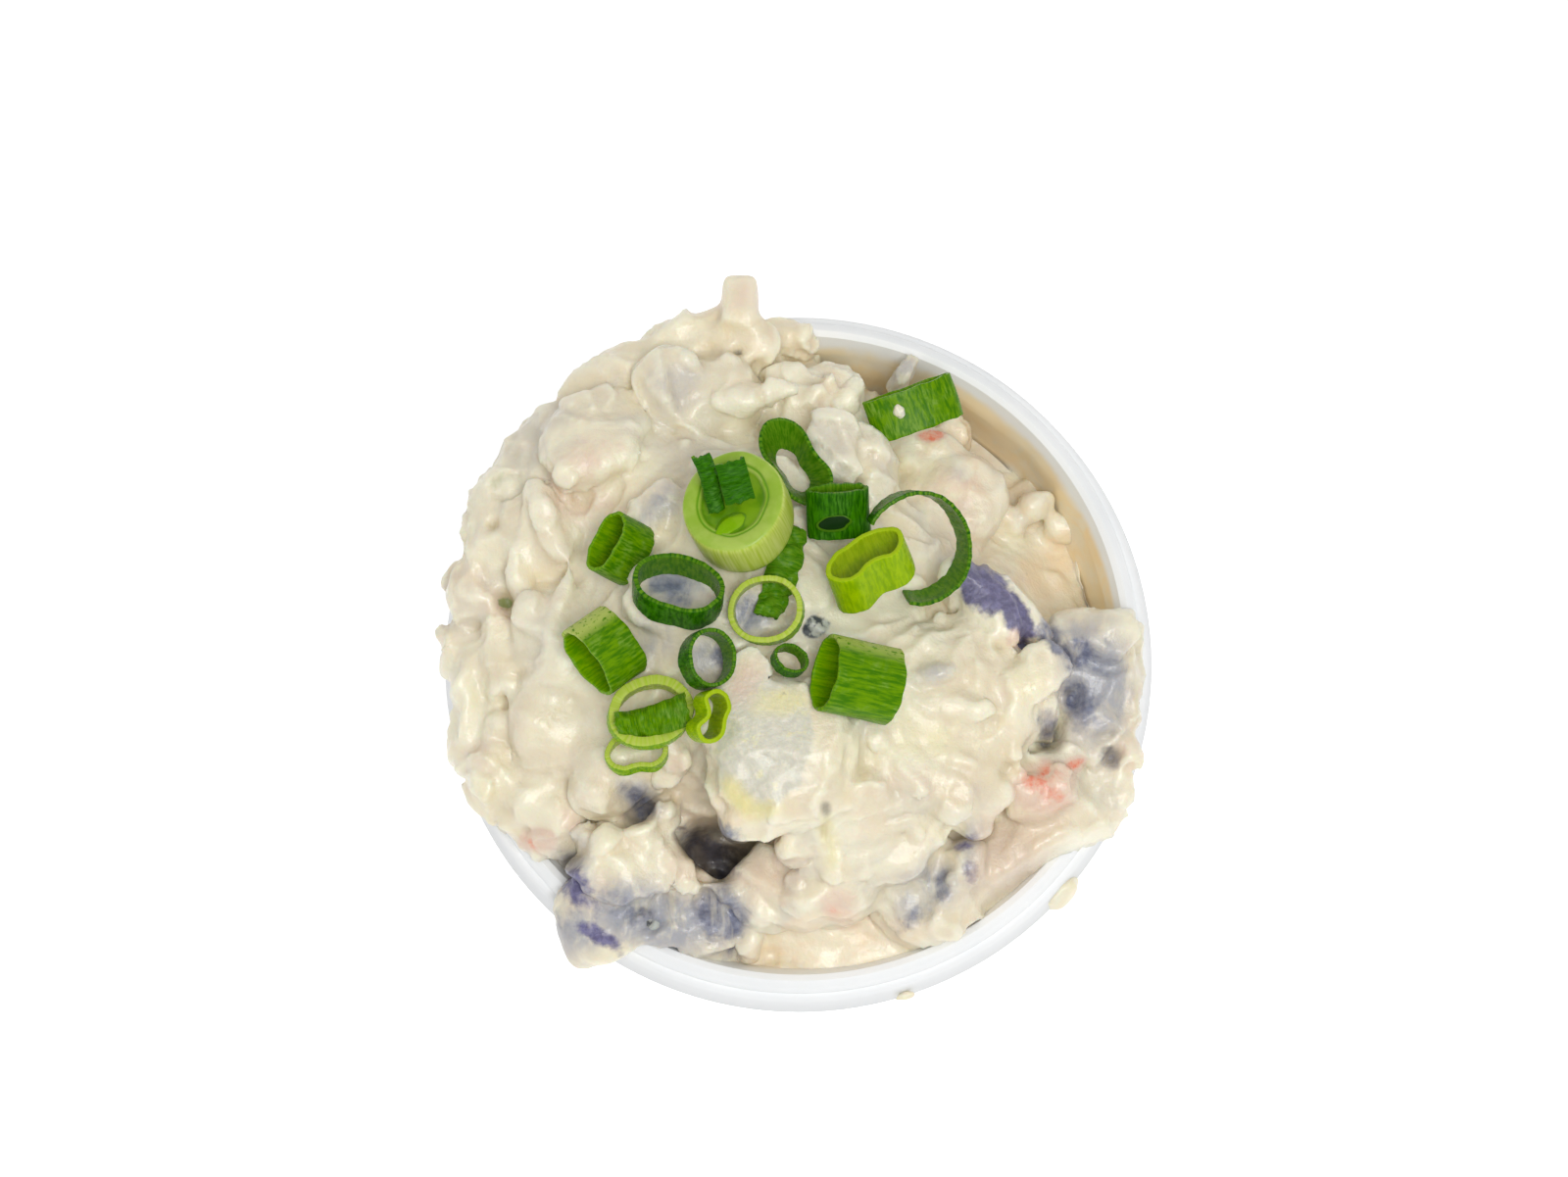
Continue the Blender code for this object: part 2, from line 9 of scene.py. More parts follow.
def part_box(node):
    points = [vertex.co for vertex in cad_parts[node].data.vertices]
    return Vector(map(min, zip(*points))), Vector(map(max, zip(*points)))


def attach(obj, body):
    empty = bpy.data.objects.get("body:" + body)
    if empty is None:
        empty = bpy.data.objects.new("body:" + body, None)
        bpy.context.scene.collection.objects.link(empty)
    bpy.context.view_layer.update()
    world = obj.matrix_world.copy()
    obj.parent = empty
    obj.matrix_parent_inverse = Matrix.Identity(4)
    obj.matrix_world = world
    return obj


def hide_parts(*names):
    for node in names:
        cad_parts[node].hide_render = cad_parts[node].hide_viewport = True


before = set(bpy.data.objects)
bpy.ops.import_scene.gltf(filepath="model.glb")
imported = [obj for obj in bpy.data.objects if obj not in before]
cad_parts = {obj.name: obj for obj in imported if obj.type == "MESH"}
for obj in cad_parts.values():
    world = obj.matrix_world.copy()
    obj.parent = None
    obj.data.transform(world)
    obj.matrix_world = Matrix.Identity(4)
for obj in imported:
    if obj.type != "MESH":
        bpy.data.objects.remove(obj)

bl_info = {
    "name": "Potato salad cup",
    "version": (1, 0, 0),
    "blender": (4, 5, 0),
    "location": "3D View > Sidebar > Salad",
    "description": "Builds a foam cup heaped with potato salad and cut scallion",
    "category": "Add Mesh",
}

MM = 0.001

# The frame's own sizes, in millimetres.
_, CUP_HIGH = (np.array(corner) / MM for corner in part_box("cup"))
CUP_HEIGHT = float(CUP_HIGH[2])
RIM_RADIUS = float(CUP_HIGH[0])
SALAD_LOW, SALAD_HIGH = (np.array(corner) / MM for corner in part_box("salad"))

# Section of the cup: how far each line lies in from the rim, and down from the top.
LIP_IN = 3.3
MOUTH_IN = 4.5
MOUTH_DROP = 1.1
BAND_DROP = 7.4
RIDGE_IN = 1.1
RIDGE_DROP = 2.3
NECK_IN = 2.1
BASE_IN = 14.5
FLOOR_IN = 17.0
FLOOR = 3.0
CUP_STEPS = 192

# The salad's mesh: the height where it is cut off, the size of its cells, how far past its node's
# box it may reach, and the seed of all the noise that shapes the pieces.
HEAP_FOOT = 50.0
VOXEL = 0.5
BOX_MARGIN = 0.2
NOISE_SEED = 7

# How often the salad's surface is averaged: at the end, to find its hollows and its valleys. Hollows
# and valleys get painted shade, and crests painted light.
LAST_ROUNDS = 2
HOLLOW_ROUNDS = 24
VALLEY_ROUNDS = 130

# Heights of the dressing's relief and of the even layer under it, in millimetres, and the share
# of the relief that a calm place takes away.
CREST = 0.75
DRAPE = 1.3
SHEET = 1.0
WRINKLE = 0.5
BIT = 0.16
CRUMB = 0.4
GRAIN = 0.10
EVEN_LAYER = 0.25
CALMED = 0.75

# How the dressing clings to the cup: how far below the mouth it does so in full, how near the
# wall it has to lie, over what distance it is drawn there, and how far it goes in.
CLING_DROP = 1.5
CLING_REACH = 2.6
CLING_BLEND = 2.0
CLING_IN = 0.2

# The plain part of the salad in the cup: its gaps to the floor, to the wall and below the mouth,
# and how far it reaches up into the heap.
FOOT_LIFT = 0.5
FOOT_IN = 0.8
FOOT_DROP = 1.2
FOOT_OVERLAP = 1.0

# Subdivisions of the balls from which forms and drops are made.
BALL_DETAIL = 4

# Places on the salad where its colour or its surface changes, by kind: place seen from above,
# reach along two axes, turn of the first axis and strength.
PATCHES = {
    "film": (
        ((37.2, -6.0), (6.0, 9.4), 8, 1.0),
        ((33.0, 0.6), (4.4, 2.8), -10, 0.8),
        ((-18.4, -34.8), (11.2, 5.0), -10, 1.0),
        ((-27.6, -30.4), (3.4, 5.8), 26, 0.9),
        ((-27.6, -36.4), (4.6, 4.6), 0, 0.9),
        ((-8.8, -34.0), (3.8, 5.2), 10, 0.9),
        ((-27.0, -25.4), (3.0, 2.6), 30, 0.55),
        ((-19.6, -20.6), (4.2, 2.4), -28, 0.9),
        ((16.2, -31.6), (7.0, 3.8), 34, 0.9),
        ((21.0, -27.2), (2.8, 4.2), -10, 0.8),
        ((1.6, -29.6), (2.2, 1.6), -40, 0.55),
        ((-15.0, 3.4), (4.6, 3.2), -12, 1.1),
        ((-5.8, 0.4), (3.2, 3.2), -30, 1.1),
        ((0.8, -1.2), (4.4, 2.4), 14, 0.65),
        ((-11.4, -5.0), (2.8, 3.0), 0, 0.9),
        ((-18.2, -3.0), (3.4, 3.6), -40, 0.8),
        ((-17.4, 14.4), (2.8, 5.0), -40, 0.8),
        ((-15.7, 31.4), (5.2, 5.0), 20, 0.6),
        ((-24.0, 33.0), (3.2, 2.6), 40, 0.45),
        ((2.0, 33.4), (4.0, 2.2), -30, 0.4),
        ((-35.6, 16.6), (3.2, 4.6), -20, 0.35),
        ((-31.6, -3.6), (3.0, 7.4), 6, 0.35),
        ((20.2, 22.0), (2.4, 1.8), 0, 0.6),
        ((22.6, 17.0), (3.6, 3.0), -30, 0.4),
        ((13.6, 36.0), (2.0, 3.0), -35, 0.8),
        ((16.4, -6.6), (3.4, 1.8), 0, 0.75),
        ((17.8, 11.0), (3.4, 4.2), 10, 0.5),
        ((22.0, -21.4), (2.6, 2.2), 0, 0.45),
    ),
    "slate": (
        ((31.4, -1.2), (2.0, 3.4), 12, 1.05),
        ((34.2, -2.6), (2.6, 2.3), 10, 1.1),
        ((37.8, -4.2), (3.6, 2.2), -20, 0.4),
        ((34.6, -8.0), (2.8, 4.2), 12, 0.75),
        ((39.0, -15.0), (1.6, 1.9), 0, 0.85),
        ((30.8, -11.4), (1.8, 2.2), 0, 0.8),
        ((-9.8, -34.6), (3.4, 4.6), 14, 0.95),
        ((-22.0, -33.6), (5.4, 2.0), -22, 0.6),
        ((-11.0, -26.4), (4.4, 2.6), -32, 1.3),
        ((-19.2, -21.2), (2.8, 1.3), -40, 0.85),
        ((-29.4, -34.0), (2.2, 3.6), 20, 0.6),
        ((15.6, -33.6), (4.6, 1.5), 38, 0.75),
        ((17.8, -29.8), (2.6, 1.0), 44, 0.6),
        ((-6.6, 0.6), (2.0, 2.8), -20, 0.85),
        ((-15.2, 3.2), (3.8, 2.3), -12, 0.75),
        ((-9.8, -5.2), (1.4, 2.6), 0, 0.9),
        ((-17.6, 14.8), (1.4, 3.0), -40, 0.4),
    ),
    "violet": (
        ((22.6, 5.4), (4.8, 3.3), -52, 1.6),
        ((26.6, 1.6), (4.0, 2.1), -60, 1.5),
        ((-27.4, -31.4), (2.2, 4.0), 30, 0.9),
        ((-24.6, -37.2), (4.4, 1.2), -30, 1.0),
        ((20.4, -26.2), (2.2, 0.9), 24, 0.8),
        ((21.0, -29.2), (1.3, 1.7), 10, 0.8),
        ((27.8, 0.4), (1.4, 1.8), 20, 0.7),
    ),
    "pink": (
        ((30.4, -19.0), (4.4, 2.9), 24, 1.45),
        ((34.0, -16.2), (1.8, 1.0), 30, 1.7),
        ((-32.2, -25.2), (3.0, 1.4), -6, 1.05),
        ((-28.8, -23.2), (1.8, 1.8), 0, 0.55),
        ((5.2, -33.6), (3.0, 2.6), 0, 0.66),
        ((17.0, 27.4), (1.9, 0.9), 10, 1.7),
        ((-6.8, -9.2), (2.2, 4.6), -24, 0.5),
        ((-14.8, -16.2), (1.8, 3.4), 0, 0.42),
        ((-25.6, 22.4), (5.4, 4.2), 20, 0.4),
        ((20.0, 20.0), (7.0, 5.6), -30, 0.36),
        ((26.4, -1.6), (1.0, 1.4), 0, 0.9),
        ((12.0, -22.0), (8.0, 6.0), 20, 0.3),
    ),
    # These patches are painted shade with a pinkish tan tone.
    "tan_shade": (
        ((27.6, -25.2), (9.0, 4.6), 44, 1.0),
        ((-3.4, -31.0), (6.4, 3.4), 0, 0.6),
        ((-13.6, -28.6), (3.4, 3.4), -50, 0.75),
        ((-14.0, -19.0), (3.4, 4.6), -10, 0.5),
        ((-36.0, -14.0), (5.0, 9.0), 0, 0.45),
        ((-30.0, 6.0), (7.0, 9.0), 0, 0.35),
        ((22.0, 14.0), (6.0, 5.0), -30, 0.5),
        ((-26.0, -18.0), (4.0, 6.0), 20, 0.4),
        ((20.6, -20.0), (4.0, 4.0), 0, 0.35),
    ),
    "potato": (
        ((-4.2, -16.2), (5.8, 8.2), -14, 1.5),
    ),
    "yellow": (
        ((-7.2, -22.4), (3.4, 1.5), -50, 0.85),
        ((-4.6, -23.8), (2.8, 1.2), 0, 0.7),
        ((3.8, -26.8), (1.3, 3.8), 12, 0.5),
        ((-2.0, -11.0), (4.6, 2.0), 10, 0.55),
        ((5.4, -18.0), (4.4, 5.6), 0, 0.25),
        ((14.0, -14.0), (6.0, 3.4), -10, 0.35),
        ((28.4, -7.6), (3.2, 3.0), 0, 0.4),
        ((-38.0, -17.6), (3.4, 4.4), 0, 0.35),
    ),
    "skin": (
        ((2.0, -0.9), (2.4, 1.5), 24, 1.15),
        ((-18.1, -35.5), (0.8, 0.6), 0, 1.5),
    ),
    "stain": (
        ((24.0, 24.0), (14.0, 8.0), -40, 0.75),
        ((33.6, 10.0), (7.0, 10.0), 0, 0.8),
        ((4.0, -37.8), (12.0, 3.6), 5, 1.2),
        ((-10.0, -23.6), (5.0, 2.2), 0, 1.2),
    ),
    "herb": (
        ((-37.4, 19.6), (2.6, 1.6), 40, 0.5),
        ((-36.9, 4.6), (0.9, 0.7), 0, 1.4),
        ((9.4, 25.4), (0.9, 2.0), 0, 0.5),
    ),
    # Dark patches are painted shade in gaps, notches and small holes.
    "dark": (
        ((-28.4, -27.6), (1.7, 1.0), 35, 0.6),
        ((31.2, -12.2), (1.5, 1.8), 0, 0.45),
        ((3.2, -23.4), (0.9, 1.0), 0, 0.6),
        ((33.7, -6.8), (1.2, 0.9), 20, 0.55),
        ((38.4, -14.0), (1.2, 0.7), 20, 0.6),
        ((-7.8, 36.4), (0.8, 0.6), 20, 0.6),
    ),
    "calm": (
        ((-27.0, -11.0), (8.0, 11.0), 0, 1.0),
        ((-2.2, -16.0), (7.4, 8.0), -10, 1.0),
        ((-14.0, 0.0), (9.0, 8.0), 0, 0.9),
        ((16.0, -13.0), (9.0, 8.0), 0, 0.9),
        ((32.6, 12.0), (9.0, 12.0), 0, 1.1),
        ((5.0, -38.4), (14.0, 3.4), 0, 1.0),
        ((27.0, -25.0), (8.0, 4.0), 45, 0.8),
        ((-25.6, 22.4), (5.4, 4.4), 20, 0.8),
        ((-28.0, -36.0), (5.0, 5.0), 0, 1.0),
        ((-38.5, -8.0), (4.5, 12.0), 0, 0.6),
        ((11.0, -27.0), (8.0, 5.0), 20, 0.7),
        ((-31.0, 26.0), (6.0, 8.0), 40, 0.5),
        ((28.6, -6.6), (5.0, 3.0), 40, 0.9),
        ((-12.0, 38.0), (9.0, 5.0), 0, 0.5),
        ((-7.6, 44.0), (5.0, 5.0), 0, 1.25),
        ((18.0, 21.0), (8.0, 6.0), -30, 0.8),
        ((-33.0, 4.0), (6.0, 14.0), 0, 0.6),
    ),
}

# Soft forms laid on the heap: middle (across, back and over the rim), half sizes, tilt to the
# front, turn and squareness.
FORMS = (
    ((-7.4, 42.9, 7.6), (2.5, 3.5, 3.2), 0, 0, 9.0),
    ((-1.0, 39.6, 4.2), (3.8, 2.0, 2.4), 0, -26, 2.5),
    ((-7.2, 38.4, 6.4), (4.4, 3, 3.4), 0, 0, 3.0),
    ((-14.4, 38.4, 5), (6.6, 3.8, 3.4), 0, 24, 3.0),
    ((-8.9, 35, 10.6), (1.5, 1.5, 1.3), 0, 0, 2.0),
    ((-15.7, 31.4, 10.6), (4.2, 5, 2), 10, 15, 3.5),
    ((0.1, 33.8, 7.9), (2.2, 1.2, 1.5), 0, 30, 2.0),
    ((3, 32, 9.5), (2.6, 1.1, 1.4), 0, 50, 2.0),
    ((6, 30.6, 8.4), (2.4, 1.2, 1.6), 0, 60, 2.0),
    ((-5.6, 29.8, 12), (5.2, 1.6, 1.4), 0, 12, 2.0),
    ((-28.2, 32.2, 3.2), (2, 2, 2.6), 0, 45, 5.0),
    ((-26, 22.8, 12.6), (5.4, 4.2, 1.9), -12, 20, 4.0),
    ((-31.4, 13.6, 11.4), (1.7, 5.6, 1.8), 0, 20, 3.0),
    ((-35, 8, 9.6), (1.4, 5, 1.6), 0, 12, 2.5),
    ((-38.6, 12.4, 6.8), (3.6, 5.4, 2.8), 0, 0, 2.5),
    ((4.2, 22.6, 13.6), (3, 4.8, 3), 0, 5, 3.0),
    ((9, 20.4, 9.8), (2.2, 5.4, 3), 0, 8, 3.0),
    ((-32.6, 1.6, 11.6), (2.7, 3, 2), 0, 0, 2.5),
    ((-29.8, 1.4, 12.8), (1.4, 6.2, 1.3), 0, -14, 2.0),
    ((-37.6, -1.6, 6), (2.2, 6.4, 2.3), 0, 4, 2.5),
    ((-43.6, 1.2, 3.0), (3.0, 1.6, 1.5), 0, -8, 2.0),
    ((-41.8, -7.4, 4.2), (1.5, 6.6, 2.6), 0, -4, 3.0),
    ((-37.4, -10.8, 6.4), (1.5, 1.7, 1.5), 0, 0, 2.0),
    ((-38.2, -17, 4.4), (3, 4.4, 2.8), 0, 12, 3.0),
    ((-34, -15.8, 4.8), (1.8, 5.2, 1.8), 0, -16, 2.0),
    ((-30.8, -20.4, 4.4), (4.6, 4, 3), 0, -14, 3.0),
    ((-29.6, -24.2, 3.2), (3.4, 1.8, 2), 0, 16, 2.5),
    ((-22.4, -28.6, 6.8), (4.8, 3.6, 2.6), 0, 14, 2.0),
    ((-18.6, -28.6, 6.8), (3.0, 3.2, 2.4), 0, -20, 2.0),
    ((-25.6, -26.2, 6.4), (1.8, 2.6, 2.0), 0, 30, 2.0),
    ((-22.4, -31.8, 6.6), (3.0, 1.4, 1.2), 0, -6, 2.0),
    ((-26.6, -28.4, 6.6), (1.6, 1.2, 1.4), 0, 0, 2.0),
    ((-23.4, -26, 8.8), (2, 1.6, 1.4), 0, 0, 2.0),
    ((-19.2, -25.2, 8.8), (1.8, 1.9, 1.6), 0, 0, 2.0),
    ((-20, -31.2, 7.2), (2.4, 1.3, 1.3), 0, -10, 2.0),
    ((-24.8, -30.8, 6.6), (1.6, 1.3, 1.2), 0, 0, 2.0),
    ((-16.8, -23, 6.6), (1.6, 3.4, 1.4), 0, -38, 2.0),
    ((-12.2, -29.8, 2.2), (5.6, 1.8, 1.7), 0, -16, 2.5),
    ((-6.2, -35.6, -1), (1.4, 4.2, 2.4), 0, 0, 2.0),
    ((-20, -35, 3.4), (2.2, 1.2, 1), 0, -20, 2.0),
    ((-14.4, -33.2, 2.8), (1.4, 3, 1.2), 0, -30, 2.0),
    ((-2.2, -16.4, 19.2), (7.4, 7.8, 2.2), 12, -10, 4.0),
    ((7.6, -20.4, 14.4), (3, 2.4, 2.4), 0, 0, 2.5),
    ((3, -22, 16.6), (3.6, 1.8, 1.8), 0, 8, 2.5),
    ((9.6, -14.4, 16.6), (1.2, 2, 1), 0, 10, 2.0),
    ((26.4, -15.6, 12.6), (1.5, 1.4, 1.4), 0, 0, 2.0),
    ((27.2, -17.8, 10.6), (1.2, 1.1, 1.3), 0, 0, 2.0),
    ((24.8, -20, 10.8), (1.4, 1.6, 1.6), 0, 0, 2.0),
    ((21.4, -24.2, 10.6), (1.4, 2, 1.8), 0, 8, 2.0),
    ((18.4, -22.4, 13.2), (2.6, 1.6, 1.7), 0, -20, 2.0),
    ((22.8, -22, 11.8), (1.4, 1.2, 1.4), 0, 0, 2.0),
    ((-3.6, -20.8, 15.8), (6.8, 2.8, 1.2), 14, -2, 4.0),
    ((8.6, -20.8, 13.6), (6.2, 3.0, 1.3), 16, 10, 4.0),
    ((3.6, -26.8, 10.6), (1.4, 4.6, 1.6), 14, 12, 3.0),
    ((8.4, -27.4, 9.0), (4.4, 2.6, 2.2), 18, 24, 3.0),
    ((6.6, -26.4, 11.2), (0.9, 3.4, 0.9), 12, -14, 2.0),
    ((10.6, -24.8, 11.8), (3.8, 0.9, 0.9), 0, 18, 2.0),
    ((14.2, -24.0, 11.4), (0.9, 2.2, 0.9), 0, 30, 2.0),
    ((11.6, -29.2, 7.8), (4.2, 0.8, 0.9), 0, 34, 2.0),
    ((18.2, -16.6, 15.2), (3.6, 0.9, 0.8), 0, -16, 2.0),
    ((14.0, -18.6, 15.4), (0.9, 3.0, 0.8), 0, 10, 2.0),
    ((-30.6, 20.6, 11.0), (0.9, 5.0, 0.9), 0, 24, 2.0),
    ((-22.0, 29.0, 10.2), (4.4, 0.9, 0.9), 0, 36, 2.0),
    ((-36.2, -4.6, 7.8), (0.8, 4.4, 0.9), 0, 8, 2.0),
    ((13.6, -26.4, 8.8), (4.6, 1.6, 1.8), 10, 28, 3.0),
    ((-0.6, -26.4, 10.2), (2.4, 2.0, 2.4), 10, 20, 3.0),
    ((1.8, -29.6, 8.0), (2.4, 1.4, 1.3), 0, -48, 2.0),
    ((-14.6, -28.6, 5.6), (1.7, 4.4, 1.8), 8, 38, 2.5),
    ((-17.4, -22.6, 8.4), (1.5, 2.8, 1.2), 0, -46, 2.0),
    ((-9.0, -31.0, 3.6), (4.2, 1.5, 1.8), 8, -14, 2.5),
    ((19.4, -31.8, 2.6), (1.8, 4.4, 2.4), 0, -20, 3.0),
    ((20.4, -28.6, 4.2), (2.2, 3, 2), 0, -15, 5.0),
    ((0.4, -38.4, -5.0), (7.6, 4.0, 2.2), 14, -8, 2.0),
    ((10.4, -36.8, -4.8), (8.4, 4.2, 2.4), 14, 16, 2.0),
    ((30.6, -18.2, 7.6), (3.6, 2, 1.8), 0, 20, 3.0),
    ((29.4, -23.2, 2.4), (9, 4.2, 2.2), -8, 42, 4.0),
    ((24.2, -29.2, 1.6), (2.8, 2.2, 1.8), 0, 52, 2.0),
    ((38.8, -19.4, 1.8), (3.8, 2.4, 2), 0, 34, 3.0),
    ((27.4, 17.6, -5.2), (2.4, 1.6, 2), 0, -30, 2.5),
    ((16, 25.6, -1.8), (5.4, 4.4, 4.2), 0, -30, 3.0),
    ((20.2, 29.4, -4.4), (2.2, 2.4, 2.8), 0, 0, 3.0),
    ((13.6, 36.2, 0.2), (1.1, 2.4, 2.6), -20, -35, 4.0),
    ((30.6, 19.4, -4), (2.3, 1.9, 2), 0, 30, 2.0),
    ((34.4, 17, -5.6), (2.4, 1.6, 1.6), 0, -20, 2.0),
    ((31.6, 8.8, -5.6), (3.4, 2.4, 1.6), 0, 20, 3.0),
    ((22.6, 3.4, 12.4), (6.4, 2.6, 2.4), 0, -44, 4.0),
    ((27, 2.6, 10.6), (5.6, 1.6, 1.9), 0, -50, 3.0),
    ((21.8, -1.4, 12.6), (5.6, 1.6, 1.6), 0, -34, 2.0),
    ((36.4, 0.2, 7), (5.2, 3.2, 2.2), 0, -8, 3.0),
    ((36.2, -7.2, 6), (3.4, 4.8, 1.8), 0, 10, 4.0),
    ((41, -6.4, 4.6), (2.2, 5.4, 2.4), 0, 0, 3.0),
    ((40.6, -13.4, 3.6), (1.9, 3, 2), 0, 10, 2.5),
    ((38.4, -17.2, 3.2), (2.6, 2.2, 1.8), 0, 20, 2.5),
    ((28.6, -6.6, 14.0), (5.0, 2.8, 1.7), 0, 40, 3.5),
    ((26.4, -10.8, 12.8), (2.0, 4.2, 2.0), 0, -12, 3.0),
    ((16.3, -6.6, 17), (2.3, 1.3, 0.9), 0, 0, 2.0),
    ((18.6, -10.4, 15.8), (5.6, 1.7, 1.2), 0, -8, 2.0),
    ((-16.2, -17.8, 9.8), (1.3, 1.9, 1.7), 0, 0, 2.0),
    ((-15.2, -15, 12.2), (2, 3.2, 2), 0, 0, 2.5),
    ((-6.8, -8.8, 21.2), (2, 4.4, 1.7), 0, -24, 3.0),
    ((-17.4, 14.4, 15.8), (2.6, 4.2, 1.6), 0, -40, 4.0),
    ((-11.4, 1.2, 18), (9.4, 4.2, 2.2), 0, -12, 4.0),
)
FORM_ROUGHNESS = 0.34

# Hollows pressed into the relief, the first two broad and the others small: place, reach, turn
# and depth.
HOLLOWS = (
    ((33.4, -29.6), (10.0, 3.0), 26, 9.0),
    ((35.4, 11.0), (5.6, 9.5), -10, 2.5),
    ((-3.4, -0.6), (3.0, 3.4), 0, 1.1),
    ((-20.2, -21.4), (2.6, 1.4), -34, 2.4),
    ((-28.2, -27.6), (2.4, 1.6), 35, 5.0),
    ((31.2, -12.2), (1.6, 2.0), 0, 3.0),
    ((-36.8, 4.8), (1.2, 1.2), 0, 2.4),
    ((-38.2, 14.0), (0.9, 0.9), 0, 1.2),
    ((-7.8, 36.4), (1.0, 0.7), 20, 1.6),
    ((3.0, -25.2), (0.7, 1.5), 10, 1.4),
    ((-18.1, -35.5), (0.9, 0.7), 30, 1.2),
    ((34.2, -7.4), (1.1, 1.6), 0, 1.8),
    ((39.3, -14.5), (1.2, 0.9), 20, 1.8),
    ((24.6, -2.6), (0.8, 0.7), 0, 1.0),
)

# Angular pits pressed into the surface: their corners from above, anticlockwise, the height over
# the rim under which they act, their depth and how dark their painted shade is. PIT_FADE is how far
# under that height and PIT_EDGE how far inside an edge they reach their full depth.
PITS = (
    (((-15.4, -25.0), (-14.0, -27.4), (-9.6, -30.2), (-6.4, -26.8), (-2.6, -22.2), (-13.1, -22.4)),
     13.2, 7.0, 0.7),
    (((-5.8, -38.9), (1.8, -39.3), (-1.6, -37.6), (-3.8, -37.2)), 30.0, 1.8, 0.3),
)
PIT_FADE = 0.8
PIT_EDGE = 0.6

# The stick of potato at the back: its middle across, where it starts and how much it is narrowed.
STICK_MIDDLE = -7.6
STICK_START = 40.4
STICK_WIDTH = 0.88

# Cut scallion: node, skin, lean of the axis, turn of the long side, half sizes, wall, length,
# pinches, share that is whole, and how much wider the upper end is.
TUBES = (
    ("low_partial_ring", "pale", (0.0, 0.14), 8, (3.9, 2.8), 0.8, 2.6, (0.0, 0.25), 1.0, 0.0),
    ("light_ring_low", "pale", (0.05, 0.06), 20, (5.3, 4.3), 1.5, 2.6, (0.0, 0.0), 1.0, 0.0),
    ("mid_light_ring", "pale", (-0.08, -0.06), 10, (4.6, 4.2), 0.9, 2.6, (0.0, 0.0), 1.0, 0.0),
    ("dark_oval_ring", "deep", (0.08, 0.28), -14, (5.6, 4.0), 0.7, 4.8, (0.0, 0.1), 1.0, 0.0),
    ("medium_ring", "deep", (0.36, -0.06), 95, (3.6, 3.1), 0.6, 4.0, (0.0, 0.0), 1.0, 0.0),
    ("small_ring", "deep", (0.28, 0.16), -24, (2.2, 1.8), 0.5, 2.4, (0.0, 0.0), 1.0, 0.0),
    ("curled_bright", "lime", (0.40, -0.16), 76, (3.2, 2.2), 0.7, 4.4, (0.62, 0.2), 1.0, 0.1),
    ("hex_tube", "fresh", (-0.70, 0.24), 52, (4.0, 3.1), 0.6, 5.2, (0.12, 0.12), 1.0, 0.0),
    ("striped_tube", "fresh", (-0.74, -0.60), -54, (4.8, 3.7), 0.6, 6.0, (0.0, 0.0), 1.0, 0.0),
    ("front_right_tube", "fresh", (-0.90, 0.12), 64, (4.7, 4.0), 0.6, 9.2, (0.0, 0.0), 1.0, 0.0),
    ("curled_loop", "deep", (0.10, 0.06), -58, (4.9, 2.9), 0.6, 4.0, (0.26, 0.22), 1.0, 0.62),
    ("square_tube", "deep", (-0.05, 0.83), 2, (3.9, 1.8), 0.6, 6.4, (0.0, 0.0), 1.0, 0.0),
    ("big_thin_ring", "deep", (0.24, -0.42), 29, (6.4, 6.9), 0.6, 4.4, (0.0, 0.0), 0.71, 0.08),
    ("kidney_ring", "lime", (-0.24, 0.46), 36, (5.4, 3.2), 0.8, 6.4, (0.10, 0.46), 1.0, 0.0),
    ("back_right_tube", "fresh", (-0.32, 0.88), 24, (5.9, 2.2), 0.6, 5.8, (0.0, 0.0), 1.0, 0.0),
)
BARE_STRIPES = {"striped_tube": (-0.5, 0.7, 0.5), "front_right_tube": (0.3, 0.75, 0.35)}
WALL_SHARE = 0.8
TUBE_ROUND = 72
TUBE_LONG = 14

# Bits of leaf: node, skin, lean of the normal, turn, half sizes, curl, sideways bow and taper.
LEAVES = (
    ("wrinkled_leaf", "deep", (0.16, -0.02), 76, (5.8, 2.1), 0.5, 0.5, 0.35),
    ("folded_leaf", "fresh", (0.0, -0.12), 12, (4.4, 2.4), 1.0, 0.6, 0.35),
    ("leaf_sliver", "deep", (0.30, -0.42), 112, (3.6, 1.5), 1.2, 0.2, 0.1),
    ("leaf_chip", "deep", (0.10, -0.40), 106, (2.5, 1.9), 0.5, 0.0, 0.0),
)
LEAF_THICKNESS = 0.6
LEAF_LONG = 44
LEAF_ACROSS = 24

# Rounding of the cut edges: the most that it may be, and its share of the wall.
EDGE_WIDTH = 0.12
EDGE_SHARE = 0.2

# The bulb slice: lean of its axis and its two radii.
BULB_LEAN = (-0.22, 0.22)
BULB_RADII = (6.4, 6.9)

# The bulb slice's section: share of its radius, height over its middle, and row's colour zone.
BULB_ROWS = (
    (0.0, -3.4, 0.0), (0.5, -3.4, 0.0), (0.90, -3.35, 0.0), (0.97, -3.1, 0.0), (0.99, -1.8, 0.0),
    (1.0, 0.0, 0.0), (1.0, 1.8, 0.0), (0.99, 2.8, 0.0), (0.965, 3.2, 0.1), (0.92, 3.36, 0.3),
    (0.86, 3.40, 0.4), (0.80, 3.36, 0.4), (0.76, 3.30, 0.4), (0.725, 3.26, 0.45),
    (0.70, 3.00, 0.5), (0.675, 3.14, 0.55), (0.64, 2.9, 0.7), (0.60, 2.65, 1.0),
    (0.48, 2.55, 1.0), (0.30, 2.6, 1.0), (0.12, 2.55, 1.0), (0.0, 2.55, 1.0),
)
# How far the face's rings move to the right and to the back towards its middle, as a share of
# the slice's radii, and how many times that is taken at the middle.
BULB_ASLANT = (-0.06, 0.02)
BULB_ASLANT_TIMES = 2.0

